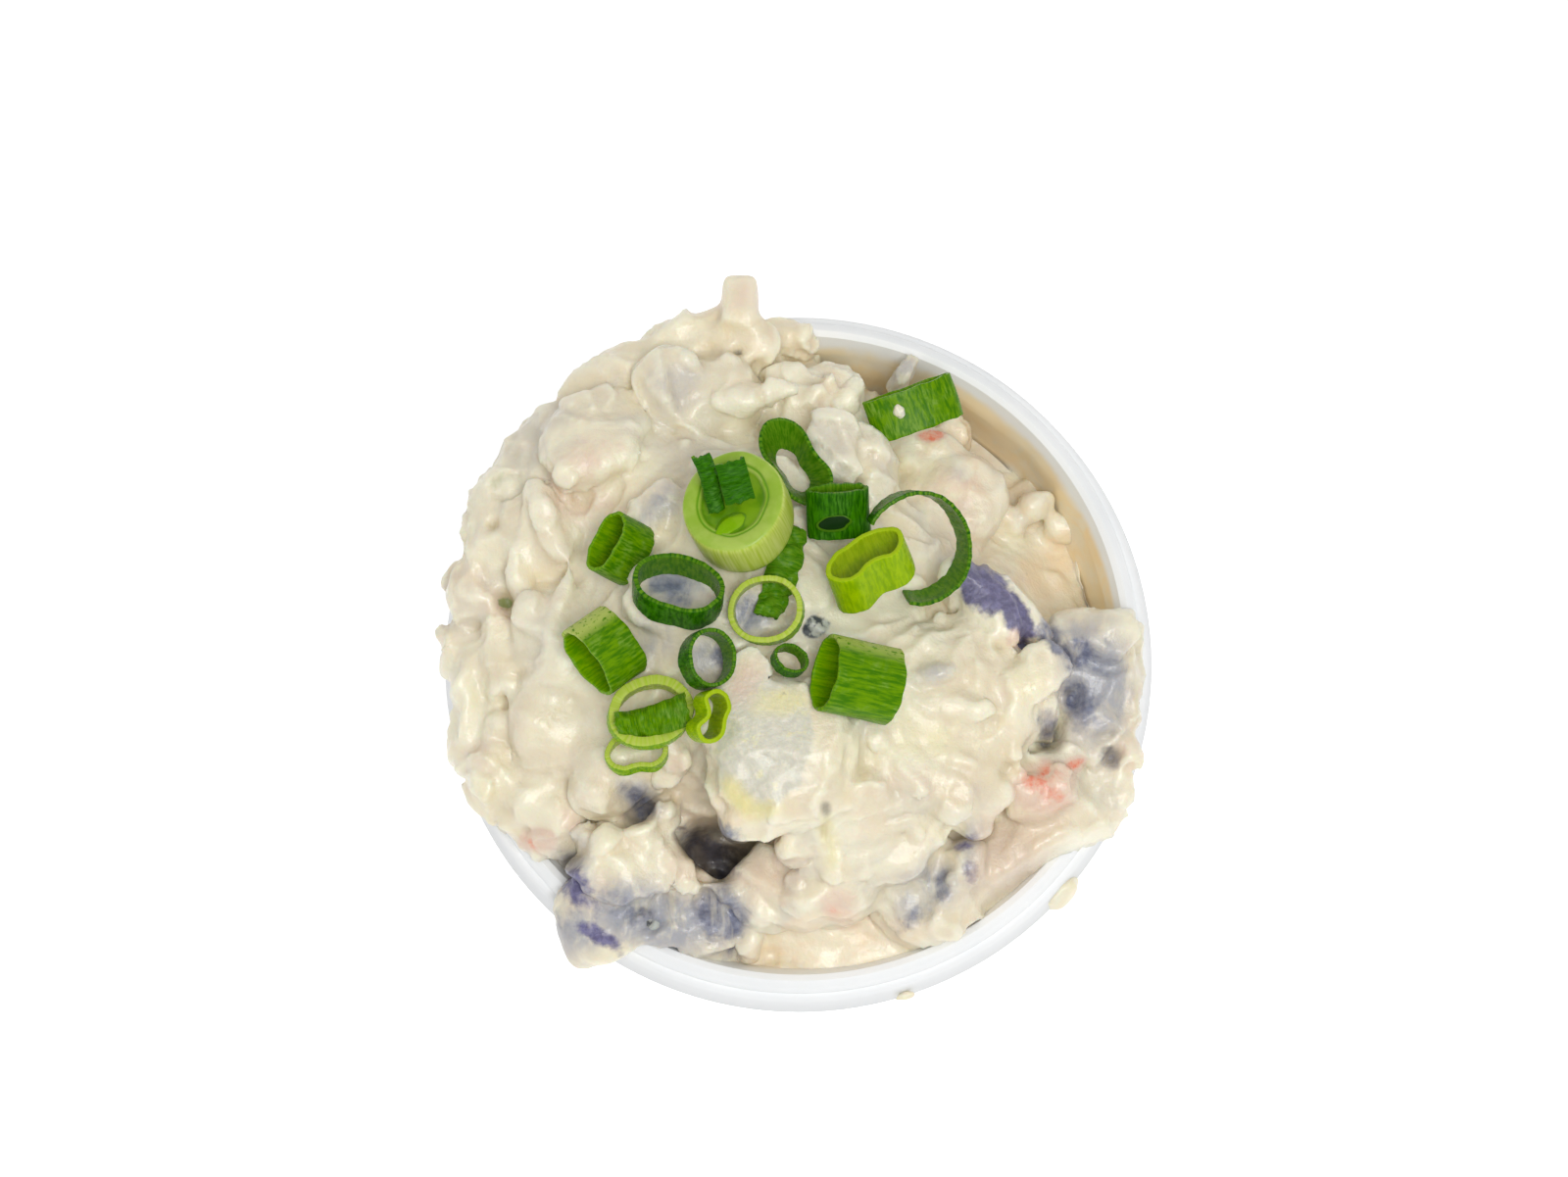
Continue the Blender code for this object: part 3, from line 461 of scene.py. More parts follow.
# Small detail pieces: name, material, place seen from above, height over the rim (or None to lie
# on what is under it), half sizes and turn.
DETAILS = (
    ("square_tube_edge", "deep_edge", (4.3, 11.3), None, (2.1, 1.05, 0.22), 18),
    # The hole is a flat dark green sheet: painted shade inside the hole.
    ("square_tube_hole", "torn_dark", (4.3, 11.3), None, (1.8, 0.8, 0.12), 18),
    ("bulb_oval_edge", "fresh_outside", (-8.2, 9.7), None, (2.5, 1.3, 0.35), 14),
    ("bulb_oval", "pale_outside", (-8.2, 9.7), None, (2.1, 0.9, 0.2), 14),
    ("tube_drop", "dressed_salad", (12.6, 28.0), None, (0.75, 0.9, 0.45), 20),
    ("rim_drop", "dressed_salad", (33.2, -30.5), -5.6, (2.7, 1.5, 2.8), 42),
    ("rim_speck", "dressed_salad", (13.4, -43.6), -4.6, (1.2, 0.5, 0.6), 17),
)

# The photograph's camera: where it aims, how steeply it looks down and from how far.
AIM = (-1.87, 7.42, CUP_HEIGHT + 1.58)
LOOK_DOWN = 77.5
CAMERA_DISTANCE = 430.0
LENS = 77.7

# The lights' places and widths in metres, and half the width of the floor in millimetres.
KEY_PLACE = (0.12, -0.20, 0.80)
KEY_WIDTH = 0.34
FILL_PLACE = (-0.4, 0.1, 0.75)
FILL_WIDTH = 0.9
FLOOR_HALF = 2500.0

# Height in metres from which a drop looks down for the piece under it.
LOOK_FROM = 0.2


def srgb(red, green, blue):
    """A screen colour from 0 to 255 as the linear colour that a shader takes."""
    values = []
    for value in (red, green, blue):
        share = value / 255.0
        values.append(share / 12.92 if share < 0.04045 else ((share + 0.055) / 1.055) ** 2.4)
    return (*values, 1.0)


# Colours of each kind of scallion: dark and light of the outside, its wax and how much of that
# shows, dark and light of the inside, and the cut edge.
SKINS = {
    "deep": (srgb(28, 84, 0), srgb(60, 124, 2), srgb(92, 136, 60), 0.4,
             srgb(62, 118, 4), srgb(100, 144, 24), srgb(26, 88, 2)),
    "fresh": (srgb(64, 118, 0), srgb(108, 152, 0), srgb(132, 166, 84), 0.55,
              srgb(84, 138, 0), srgb(122, 164, 0), srgb(84, 138, 6)),
    "lime": (srgb(132, 172, 0), srgb(162, 196, 0), srgb(170, 198, 20), 0.2,
             srgb(142, 172, 6), srgb(166, 190, 24), srgb(160, 190, 20)),
    "pale": (srgb(100, 154, 0), srgb(140, 184, 4), srgb(178, 200, 66), 0.35,
             srgb(156, 180, 60), srgb(184, 198, 92), srgb(166, 192, 52)),
}
INSIDE_WAXY = 0.2
EDGE_WAXY = 0.1


def add_object(name, data):
    """Makes an object of some data and puts it into the scene."""
    made = bpy.data.objects.new(name, data)
    bpy.context.scene.collection.objects.link(made)
    return made


def mesh_object(name, bm):
    """Makes an object in metres from a bmesh in millimetres."""
    bmesh.ops.scale(bm, vec=(MM, MM, MM), verts=bm.verts)
    mesh = bpy.data.meshes.new(name)
    bm.to_mesh(mesh)
    bm.free()
    return add_object(name, mesh)


def apply_modifiers(made):
    """Gives an object the mesh that its modifiers make, in place of both."""
    graph = bpy.context.evaluated_depsgraph_get()
    mesh = bpy.data.meshes.new_from_object(made.evaluated_get(graph))
    made.modifiers.clear()
    old = made.data
    made.data = mesh
    bpy.data.meshes.remove(old)


def shade_smooth(made, angle):
    """Shades a piece smoothly, apart from edges sharper than an angle in degrees."""
    made.data.shade_smooth()
    made.data.set_sharp_from_angle(angle=math.radians(angle))


def finish_piece(made, nodes):
    """Lets a piece stand for its nodes of the frame."""
    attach(made, "root")
    if nodes:
        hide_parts(*nodes)


class Nodes:
    """Builds a material's nodes and links them with few words."""

    def __init__(self, name):
        self.material = bpy.data.materials.new(name)
        self.material.use_nodes = True
        self.tree = self.material.node_tree
        self.shader = self.tree.nodes["Principled BSDF"]

    def add(self, kind, **values):
        """Adds a node and sets what is named: its properties, or else its inputs."""
        node = self.tree.nodes.new(kind)
        for key, value in values.items():
            if hasattr(node, key):
                setattr(node, key, value)
            else:
                node.inputs[key.replace("_", " ")].default_value = value
        return node

    def link(self, source, target):
        self.tree.links.new(source, target)

    def feed(self, sockets, values):
        """Links each socket to an output, or sets it to a constant."""
        for socket, value in zip(sockets, values):
            if isinstance(value, bpy.types.NodeSocket):
                self.link(value, socket)
            else:
                socket.default_value = value

    def surface(self, **values):
        """Sets inputs of the material's shader to constants."""
        for key, value in values.items():
            self.shader.inputs[key.replace("_", " ")].default_value = value

    def coordinates(self, scale=(1.0, 1.0, 1.0), kind="Object"):
        place = self.add("ShaderNodeTexCoord")
        mapping = self.add("ShaderNodeMapping", Scale=scale)
        self.link(place.outputs[kind], mapping.inputs["Vector"])
        return mapping.outputs["Vector"]

    def noise(self, vector, scale, detail=4.0, rough=0.55, distort=0.0):
        node = self.add("ShaderNodeTexNoise", Scale=scale, Detail=detail, Roughness=rough,
                        Distortion=distort)
        self.link(vector, node.inputs["Vector"])
        return node.outputs["Fac"]

    def cells(self, vector, scale):
        node = self.add("ShaderNodeTexVoronoi", Scale=scale)
        self.link(vector, node.inputs["Vector"])
        return node.outputs["Distance"]

    def attribute(self, name):
        return self.add("ShaderNodeAttribute", attribute_name=name).outputs["Fac"]

    def math(self, operation, first, second):
        node = self.add("ShaderNodeMath", operation=operation)
        self.feed(node.inputs, (first, second))
        return node.outputs[0]

    def plus(self, first, second):
        return self.math("ADD", first, second)

    def times(self, first, second):
        return self.math("MULTIPLY", first, second)

    def wander(self, value, ragged):
        """A noise moved round zero, which frays a patch's edge."""
        return self.times(self.math("SUBTRACT", value, 0.5), ragged)

    def spread(self, value, low, high, to_low=0.0, to_high=1.0):
        """Spreads a value from one range over another, smoothly and held to it."""
        node = self.add("ShaderNodeMapRange", interpolation_type="SMOOTHSTEP", From_Min=low,
                        From_Max=high, To_Min=to_low, To_Max=to_high)
        self.link(value, node.inputs["Value"])
        return node.outputs["Result"]

    def mix(self, factor, first, second):
        """Mixes two colours. Their sockets go by number, as each name has several."""
        node = self.add("ShaderNodeMix", data_type="RGBA")
        self.feed((node.inputs[0], node.inputs[6], node.inputs[7]), (factor, first, second))
        return node.outputs[2]

    def bump(self, height, strength, distance):
        node = self.add("ShaderNodeBump", Strength=strength, Distance=distance)
        self.link(height, node.inputs["Height"])
        self.link(node.outputs["Normal"], self.shader.inputs["Normal"])


def foam_material(settings):
    """White bead foam, with a cream stain where dressing has run down the inside."""
    n = Nodes("white_foam")
    place = n.coordinates()
    beads = n.cells(place, 420.0)
    soft = n.noise(place, 60.0, 3.0)
    white = n.mix(n.spread(soft, 0.3, 0.7), (*settings.white, 1.0), (*settings.shade, 1.0))
    # Painted shade: the outer band and outer wall are mixed towards the greyer outside colour.
    white = n.mix(n.attribute("band"), white, (*settings.outside, 1.0))
    film = n.noise(place, 210.0, 5.0, 0.6, 0.4)
    stain = n.spread(n.plus(n.attribute("stain"), n.times(film, 0.3)), 0.2, 0.62)
    dressing = n.mix(n.spread(soft, 0.35, 0.65), srgb(245, 233, 204), srgb(245, 220, 174))
    dressing = n.mix(n.spread(film, 0.48, 0.66, 0.0, 0.7), dressing, srgb(238, 232, 214))
    n.link(n.mix(stain, white, dressing), n.shader.inputs["Base Color"])
    n.link(n.spread(stain, 0.0, 1.0, 0.55, 0.34), n.shader.inputs["Roughness"])
    n.bump(n.plus(n.times(beads, -0.5), n.times(film, 0.25)), 0.25, 0.0003)
    n.surface(Subsurface_Weight=0.25, Subsurface_Radius=(1.0, 0.95, 0.9), Subsurface_Scale=0.0012)
    return n.material


def salad_material(settings):
    """Creamy dressing over potato, with purple, pink and pale places where it lies thin."""
    n = Nodes("dressed_salad")
    place = n.coordinates()
    broad = n.noise(place, 80.0, 3.0, 0.5, 0.3)
    middle = n.noise(place, 210.0, 4.0, 0.55, 0.5)
    fine = n.noise(place, 1100.0, 4.0, 0.6)
    cream = n.mix(n.spread(broad, 0.36, 0.66), (*settings.cream, 1.0), (*settings.warm, 1.0))
    cream = n.mix(n.spread(middle, 0.52, 0.74, 0.0, 0.4), cream, (*settings.white, 1.0))
    thin = n.noise(place, 62.0, 4.0, 0.55, 0.5)
    cream = n.mix(n.spread(thin, 0.50, 0.68, 0.0, 0.6), cream, srgb(204, 197, 184))
    rosy = n.noise(n.coordinates((1.0, 1.3, 0.8)), 74.0, 4.0, 0.55, 0.4)
    cream = n.mix(n.spread(rosy, 0.54, 0.70, 0.0, 0.55), cream, srgb(229, 206, 188))
    butter = n.noise(n.coordinates((1.2, 0.9, 1.0)), 98.0, 3.0, 0.5, 0.4)
    cream = n.mix(n.spread(butter, 0.56, 0.72, 0.0, 0.45), cream, srgb(241, 227, 188))
    # Painted light: crests, where the hollow measure is below zero, are mixed towards the pale
    # dressing.
    cream = n.mix(n.spread(n.attribute("hollow"), -0.45, -0.08, 0.55, 0.0), cream,
                  (*settings.white, 1.0))
    # Painted shade: hollows are mixed towards the hollow colour, which also stands for dressing
    # gathered there.
    hollow = n.spread(n.attribute("hollow"), 0.05, 0.8, 0.0, 0.75)
    cream = n.mix(hollow, cream, (*settings.hollow, 1.0))
    # Painted shade: broad valleys are darkened towards a tan.
    cream = n.mix(n.spread(n.attribute("valley_shade"), 0.3, 3.0, 0.0, 0.4), cream, srgb(214, 198, 164))

    def patch(kind, ragged, low, high):
        return n.spread(n.plus(n.attribute(kind), n.wander(middle, ragged)), low, high)

    stain = n.mix(n.spread(middle, 0.35, 0.65), srgb(241, 230, 206), srgb(238, 218, 186))
    colour = n.mix(n.times(patch("stain", 0.8, 0.35, 0.8), 0.8), cream, stain)
    flesh = n.mix(n.spread(fine, 0.36, 0.7), srgb(208, 205, 188), srgb(222, 217, 199))
    colour = n.mix(patch("potato", 0.9, 0.5, 0.75), colour, flesh)
    grains = n.noise(place, 520.0, 3.0, 0.65)
    grain_share = n.times(n.spread(grains, 0.55, 0.68), n.spread(n.attribute("potato"), 0.3, 0.8))
    colour = n.mix(n.times(grain_share, 0.45), colour, srgb(236, 229, 172))
    colour = n.mix(n.times(patch("yellow", 0.8, 0.05, 1.1), 0.75), colour, srgb(236, 224, 140))
    veil = n.noise(n.coordinates((1.0, 0.5, 0.7)), 340.0, 4.0, 0.6, 0.6)
    streaks = n.spread(veil, 0.42, 0.66, 1.0, 0.45)
    film = n.mix(n.spread(n.attribute("film"), 0.5, 1.0), srgb(196, 189, 182), srgb(164, 166, 174))
    amount = n.times(patch("film", 0.9, 0.15, 0.95), streaks)
    colour = n.mix(n.times(amount, 0.92), colour, film)

    def facet(kind, ragged, low, high):
        wander = n.plus(n.wander(grains, ragged), n.wander(middle, ragged))
        return n.spread(n.plus(n.attribute(kind), wander), low, high)

    slate = n.mix(n.spread(fine, 0.38, 0.66), srgb(80, 86, 116), srgb(118, 124, 150))
    amount = n.times(facet("slate", 1.0, 0.25, 0.95), streaks)
    colour = n.mix(n.times(amount, 0.85), colour, slate)
    violet = n.mix(n.spread(fine, 0.38, 0.66), srgb(68, 64, 116), srgb(108, 104, 152))
    colour = n.mix(n.times(facet("violet", 1.2, 0.32, 0.98), 0.9), colour, violet)
    # Painted shade with a pinkish tan tone: these patches darken the dressing.
    shade = n.mix(n.spread(broad, 0.4, 0.6), srgb(224, 203, 176), srgb(215, 195, 175))
    colour = n.mix(n.times(patch("tan_shade", 0.9, 0.1, 1.0), 0.85), colour, shade)
    rose = n.mix(n.spread(fine, 0.42, 0.62), srgb(232, 168, 142), srgb(232, 112, 78))
    blush = n.times(patch("pink", 1.2, 0.2, 0.7), 0.5)
    colour = n.mix(blush, colour, srgb(222, 186, 170))
    colour = n.mix(n.times(patch("pink", 3.0, 0.8, 1.5), 0.85), colour, rose)
    skin = n.mix(n.spread(grains, 0.40, 0.56), srgb(72, 76, 80), srgb(196, 198, 190))
    colour = n.mix(patch("skin", 1.2, 0.55, 0.85), colour, skin)
    colour = n.mix(n.times(patch("herb", 1.2, 0.35, 0.8), 0.7), colour, srgb(122, 150, 70))
    # Painted shade: the dark patches and pits are mixed towards a near-black brown.
    colour = n.mix(n.times(patch("dark", 0.5, 0.2, 0.9), 0.85), colour, srgb(62, 54, 52))
    n.link(colour, n.shader.inputs["Base Color"])
    n.link(n.spread(middle, 0.3, 0.7, 0.30, 0.50), n.shader.inputs["Roughness"])
    n.bump(n.plus(middle, n.times(fine, 0.5)), 0.45, 0.0008)
    n.surface(Subsurface_Weight=0.35, Subsurface_Radius=(1.0, 0.62, 0.32), Subsurface_Scale=0.002,
              Coat_Weight=0.22, Coat_Roughness=0.12)
    return n.material


def leaf_material(name, dark, light, wax, waxy):
    """Scallion: long stripes in the grid's second direction, pale wax and paler bare stripes."""
    n = Nodes(name)
    along = n.coordinates((34.0, 1.4, 1.0), "UV")
    stripes = n.noise(along, 2.2, 4.0, 0.6)
    blotch = n.noise(n.coordinates(), 420.0, 4.0, 0.6, 0.3)
    colour = n.mix(n.spread(stripes, 0.36, 0.64), dark, light)
    film = n.times(n.spread(blotch, 0.50, 0.68), n.spread(stripes, 0.42, 0.62))
    colour = n.mix(n.times(film, waxy), colour, wax)
    dashes = n.spread(n.noise(n.coordinates((26.0, 5.0, 1.0), "UV"), 2.0, 3.0), 0.36, 0.44)
    bare = n.times(n.attribute("bare"), dashes)
    colour = n.mix(bare, colour, srgb(176, 190, 96))
    n.link(colour, n.shader.inputs["Base Color"])
    n.link(n.spread(blotch, 0.35, 0.7, 0.18, 0.4), n.shader.inputs["Roughness"])
    n.bump(n.plus(stripes, n.times(blotch, 0.4)), 0.35, 0.0002)
    n.surface(Subsurface_Weight=0.1, Subsurface_Radius=(0.5, 1.0, 0.2), Subsurface_Scale=0.0006,
              Specular_IOR_Level=0.1)
    return n.material


def skin_materials(skin):
    """The outside, the inside and the cut edge of one kind of scallion."""
    if skin + "_outside" not in bpy.data.materials:
        dark, light, wax, waxy, inner_dark, inner_light, edge = SKINS[skin]
        leaf_material(skin + "_outside", dark, light, wax, waxy)
        leaf_material(skin + "_inside", inner_dark, inner_light, inner_light, INSIDE_WAXY)
        leaf_material(skin + "_edge", edge, inner_light, inner_light, EDGE_WAXY)
    return [bpy.data.materials[skin + part] for part in ("_outside", "_inside", "_edge")]


def cup_profile():
    """The cup's section, from the middle of its underside over the rim to its floor."""
    top = CUP_HEIGHT
    rim = RIM_RADIUS
    lip = rim - LIP_IN
    return [
        (0.0, 0.0), (rim - BASE_IN - 2.4, 0.0), (rim - BASE_IN - 0.8, 0.15),
        (rim - BASE_IN, 0.9), (rim - NECK_IN, top - BAND_DROP - 1.1),
        (rim - 0.5, top - BAND_DROP - 0.1), (rim - 0.05, top - BAND_DROP + 0.6),
        (rim, top - BAND_DROP + 1.2), (rim - RIDGE_IN + 0.35, top - RIDGE_DROP - 0.8),
        (rim - RIDGE_IN + 0.1, top - RIDGE_DROP - 0.1), (rim - RIDGE_IN - 0.3, top - RIDGE_DROP + 0.3),
        (rim - RIDGE_IN - 0.8, top - RIDGE_DROP + 0.35), (lip + 1.25, top - 1.0),
        (lip + 0.8, top - 0.35), (lip, top), (lip - 0.8, top - 0.3),
        (rim - MOUTH_IN + 0.05, top - MOUTH_DROP), (rim - MOUTH_IN - 0.5, top - MOUTH_DROP - 1.8),
        (rim - FLOOR_IN, FLOOR + 1.3), (rim - FLOOR_IN - 1.2, FLOOR + 0.1), (0.0, FLOOR),
    ]


def cup_bmesh():
    """The cup turned round its axis, with enough rows on its wall for smears."""
    bm = bmesh.new()
    points = cup_profile()
    verts = [bm.verts.new((r, 0.0, z)) for r, z in points]
    edges = [bm.edges.new(pair) for pair in zip(verts, verts[1:])]
    wall = [edge for edge in edges if edge.calc_length() > 20.0]
    bmesh.ops.subdivide_edges(bm, edges=wall, cuts=60)
    bmesh.ops.spin(bm, geom=list(bm.verts) + list(bm.edges), cent=(0, 0, 0), axis=(0, 0, 1),
                   angle=math.tau, steps=CUP_STEPS, use_merge=True, use_duplicate=False)
    bmesh.ops.remove_doubles(bm, verts=bm.verts, dist=0.0005)
    bmesh.ops.recalc_face_normals(bm, faces=bm.faces)
    return bm


def smear_depth(x, y, z):
    """How much dressing clings to the cup's inner wall at a point, from 0 to 1."""
    drop = CUP_HEIGHT - z
    place = Vector((x, y, z * 0.7))
    rough = noise.noise(place * 0.13) + 0.5 * noise.noise(place * 0.4)
    edge = 1.3 + 1.8 * noise.noise(place * 0.1 + Vector((5, 0, 0)))
    covered = min(max((drop - edge) / 1.4, 0.0), 1.0) * min(max((y + 36.0) / 8.0, 0.25), 1.0)
    return min(max(covered * (0.62 + 0.55 * rough), 0.0), 1.0)


def heap_source():
    """The frame's own salad, welded and rounded."""
    bm = bmesh.new()
    bm.from_mesh(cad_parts["salad"].data)
    bmesh.ops.remove_doubles(bm, verts=bm.verts, dist=0.000004)
    mesh = bpy.data.meshes.new("salad_source")
    bm.to_mesh(mesh)
    bm.free()
    source = add_object("salad_source", mesh)
    rounder = source.modifiers.new("rounder", "SUBSURF")
    rounder.levels = rounder.render_levels = 2
    apply_modifiers(source)
    bm = bmesh.new()
    bm.from_mesh(source.data)
    bmesh.ops.scale(bm, vec=(1 / MM, 1 / MM, 1 / MM), verts=bm.verts)
    bpy.data.objects.remove(source)
    return bm


def lay_form(bm, index, middle, half, tilt, turn, squareness):
    """Lays a roughened ball, pressed towards a box and turned, into a mesh."""
    ball = bmesh.new()
    bmesh.ops.create_icosphere(ball, subdivisions=BALL_DETAIL, radius=1.0)
    shift = Vector((index * 1.31, index * 2.17, index * 0.53))
    rough = FORM_ROUGHNESS * 2.0 / squareness
    spin = Matrix.Rotation(math.radians(turn), 3, "Z") @ Matrix.Rotation(math.radians(tilt), 3, "X")
    for vert in ball.verts:
        x, y, z = (abs(value) for value in vert.co)
        reach = (x ** squareness + y ** squareness + z ** squareness) ** (-1.0 / squareness)
        bump = 1.0 + rough * noise.noise(vert.co * 1.9 + shift)
        point = vert.co * reach * bump
        point = spin @ Vector((point.x * half[0], point.y * half[1], point.z * half[2]))
        vert.co = point + Vector(middle) + Vector((0, 0, CUP_HEIGHT))
    mesh = bpy.data.meshes.new("form")
    ball.to_mesh(mesh)
    ball.free()
    bm.from_mesh(mesh)
    bpy.data.meshes.remove(mesh)


def vertex_arrays(mesh):
    """Places in millimetres, normals and edges of a mesh."""
    count = len(mesh.vertices)
    places = np.empty(count * 3)
    mesh.vertices.foreach_get("co", places)
    normals = np.empty(count * 3)
    mesh.vertices.foreach_get("normal", normals)
    edges = np.empty(len(mesh.edges) * 2, dtype=np.int64)
    mesh.edges.foreach_get("vertices", edges)
    return places.reshape(-1, 3) / MM, normals.reshape(-1, 3), edges.reshape(-1, 2)


def place_vertices(mesh, places):
    """Moves a mesh's vertices to places given in millimetres."""
    mesh.vertices.foreach_set("co", (places * MM).ravel())
    mesh.update()


def relax(values, edges, rounds):
    """Averages each vertex's value with its neighbours' a number of times."""
    values = values.copy()
    size = len(values)
    count = np.bincount(edges.ravel(), minlength=size)
    first, second = edges[:, 0], edges[:, 1]
    for _ in range(rounds):
        for column in range(values.shape[1]):
            total = np.bincount(first, values[second, column], size)
            total += np.bincount(second, values[first, column], size)
            values[:, column] = 0.5 * (values[:, column] + total / count)
    return values


def pit_share(places, corners, ceiling):
    """How deep each vertex lies inside the edges of a pit, from 0 to 1."""
    share = (CUP_HEIGHT + ceiling - places[:, 2]) / PIT_FADE
    for (x, y), (next_x, next_y) in zip(corners, corners[1:] + corners[:1]):
        length = math.hypot(next_x - x, next_y - y)
        inward = (next_x - x) * (places[:, 1] - y) - (next_y - y) * (places[:, 0] - x)
        share = np.minimum(share, inward / length / PIT_EDGE)
    return np.clip(share, 0.0, 1.0)


def crumb_relief(place):
    """Small crumbs that stand out of the dressing, in millimetres, in scattered groups."""
    spots, _ = noise.voronoi(place * 0.45)
    groups = min(max(noise.noise(place * 0.12 + Vector((3, 1, 8))) * 3.0 + 0.2, 0.0), 1.0)
    return 0.9 * groups * min(max(0.42 - spots[0], 0.0) * 4.0, 1.0)


def heap_relief(place):
    """How far the dressing stands out at a place, in millimetres: soft folds and small bits."""
    warped = place + noise.noise_vector(place * 0.11) * 3.0
    warped += noise.noise_vector(place * 0.4) * 0.5
    crests = 0.35 - 2.0 * abs(noise.noise(warped * 0.14))
    angle = math.atan2(place.y, place.x)
    reach = math.hypot(place.x, place.y)
    drapes = noise.noise(Vector((angle * 7.0, reach * 0.06, 5.0)))
    outer = min(max((reach - 20.0) / 14.0, 0.0), 1.0)
    level = 3.4 * noise.noise(warped * 0.075 + Vector((2, 5, 1)))
    sheet = (level - math.floor(level)) ** 3
    crease = abs(noise.noise(warped * 0.17 + Vector((0, 4, 2))))
    wrinkle = max(1.0 - crease * 9.0, 0.0)
    bits = noise.noise(warped * 0.5 + Vector((7, 0, 0)))
    fine = noise.noise(place * 1.2)
    folds = CREST * crests + DRAPE * outer * drapes + SHEET * (sheet - 0.25) + WRINKLE * wrinkle
    small = BIT * bits + CRUMB * (1.0 - 0.8 * outer) * crumb_relief(warped) + GRAIN * fine
    return folds + small


def near_place(places, spot, reach, turn):
    """Distance of each vertex from a place seen from above, as a share of its reach."""
    angle = math.radians(turn)
    east = places[:, 0] - spot[0]
    north = places[:, 1] - spot[1]
    first = (east * math.cos(angle) + north * math.sin(angle)) / reach[0]
    second = (north * math.cos(angle) - east * math.sin(angle)) / reach[1]
    return np.sqrt(first ** 2 + second ** 2)


def patch_values(places, kind):
    """Strength of one kind of colour patch at each vertex."""
    values = np.zeros(len(places))
    for spot, reach, turn, strength in PATCHES[kind]:
        near = strength * np.exp(-near_place(places, spot, reach, turn) ** 3)
        values = np.maximum(values, near)
    # Pits add their painted shade to the dark patches.
    if kind == "dark":
        for corners, ceiling, _, darkness in PITS:
            values = np.maximum(values, darkness * pit_share(places, corners, ceiling))
    return values


def wall_radius(height):
    """Radius of the cup's inner wall at a height."""
    low_radius = RIM_RADIUS - FLOOR_IN
    slope = (FLOOR_IN - MOUTH_IN) / (CUP_HEIGHT - MOUTH_DROP - FLOOR)
    return low_radius + slope * (height - FLOOR)


def press_to_wall(places):
    """Spreads the dressing that nearly reaches the cup's inner wall on to it."""
    radius = np.hypot(places[:, 0], places[:, 1])
    wall = wall_radius(places[:, 2])
    below = np.clip((CUP_HEIGHT - MOUTH_DROP - places[:, 2]) / CLING_DROP, 0.0, 1.0)
    near = np.clip((radius - wall + CLING_REACH) / CLING_BLEND, 0.0, 1.0) * below
    grown = radius + near * (wall + CLING_IN - radius)
    places[:, :2] *= (grown / radius)[:, None]


def set_attribute(mesh, name, values):
    """Stores a value for each vertex under a name that a material reads."""
    layer = mesh.attributes.new(name, "FLOAT", "POINT")
    layer.data.foreach_set("value", np.asarray(values, dtype=np.float32))


def close_foot(mesh):
    """Cuts the heap's hidden foot away at a level and closes it with one face."""
    bm = bmesh.new()
    bm.from_mesh(mesh)
    level = Vector((0, 0, HEAP_FOOT * MM))
    cut = bmesh.ops.bisect_plane(bm, geom=list(bm.verts) + list(bm.edges) + list(bm.faces),
                                 plane_co=level, plane_no=(0, 0, 1), clear_inner=True)
    rim = [item for item in cut["geom_cut"] if isinstance(item, bmesh.types.BMEdge)]
    bmesh.ops.contextual_create(bm, geom=rim)
    bm.to_mesh(mesh)
    bm.free()


def grow_salad(settings):
    """The heap: the frame's salad with forms laid on, remeshed, softened and given relief."""
    bm = heap_source()
    for index, row in enumerate(FORMS):
        lay_form(bm, index, *row)
    heap = mesh_object("potato_salad", bm)
    remesh = heap.modifiers.new("remesh", "REMESH")
    remesh.mode = "VOXEL"
    remesh.voxel_size = VOXEL * MM
    apply_modifiers(heap)
    close_foot(heap.data)
    places, normals, edges = vertex_arrays(heap.data)
    places = relax(places, edges, settings.softness)
    place_vertices(heap.data, places)
    places, normals, edges = vertex_arrays(heap.data)
    relief = np.array([heap_relief(Vector(place)) for place in places])
    relief *= 1.0 - CALMED * patch_values(places, "calm")
    relief[places[:, 2] < HEAP_FOOT + 2.0] = 0.0
    places += normals * (relief * settings.relief + EVEN_LAYER)[:, None]
    for spot, reach, turn, depth in HOLLOWS:
        share = np.clip(1.6 - 1.2 * near_place(places, spot, reach, turn), 0.0, 1.0)
        places[:, 2] -= depth * share * (places[:, 2] > HEAP_FOOT + 4.0)
    for corners, ceiling, depth, _ in PITS:
        places[:, 2] -= depth * pit_share(places, corners, ceiling)
    stick = np.clip((places[:, 1] - STICK_START) / 2.0, 0.0, 1.0)
    stick *= np.abs(places[:, 0] - STICK_MIDDLE) < 5.0
    places[:, 0] -= stick * (1.0 - STICK_WIDTH) * (places[:, 0] - STICK_MIDDLE)
    places = relax(places, edges, LAST_ROUNDS)
    press_to_wall(places)
    places = np.clip(places, SALAD_LOW - BOX_MARGIN, SALAD_HIGH + BOX_MARGIN)
    place_vertices(heap.data, places)
    places, normals, edges = vertex_arrays(heap.data)
    # The hollow measure drives painted shade in hollows and painted light on crests.
    broad = relax(places, edges, HOLLOW_ROUNDS)
    hollow = ((broad - places) * normals).sum(axis=1)
    set_attribute(heap.data, "hollow", hollow)
    # This value drives painted shade in broad valleys.
    valley_shade = (relax(broad, edges, VALLEY_ROUNDS) - places)[:, 2]
    set_attribute(heap.data, "valley_shade", valley_shade)
    for kind in PATCHES:
        set_attribute(heap.data, kind, patch_values(places, kind))
    heap.data.shade_smooth()
    return heap


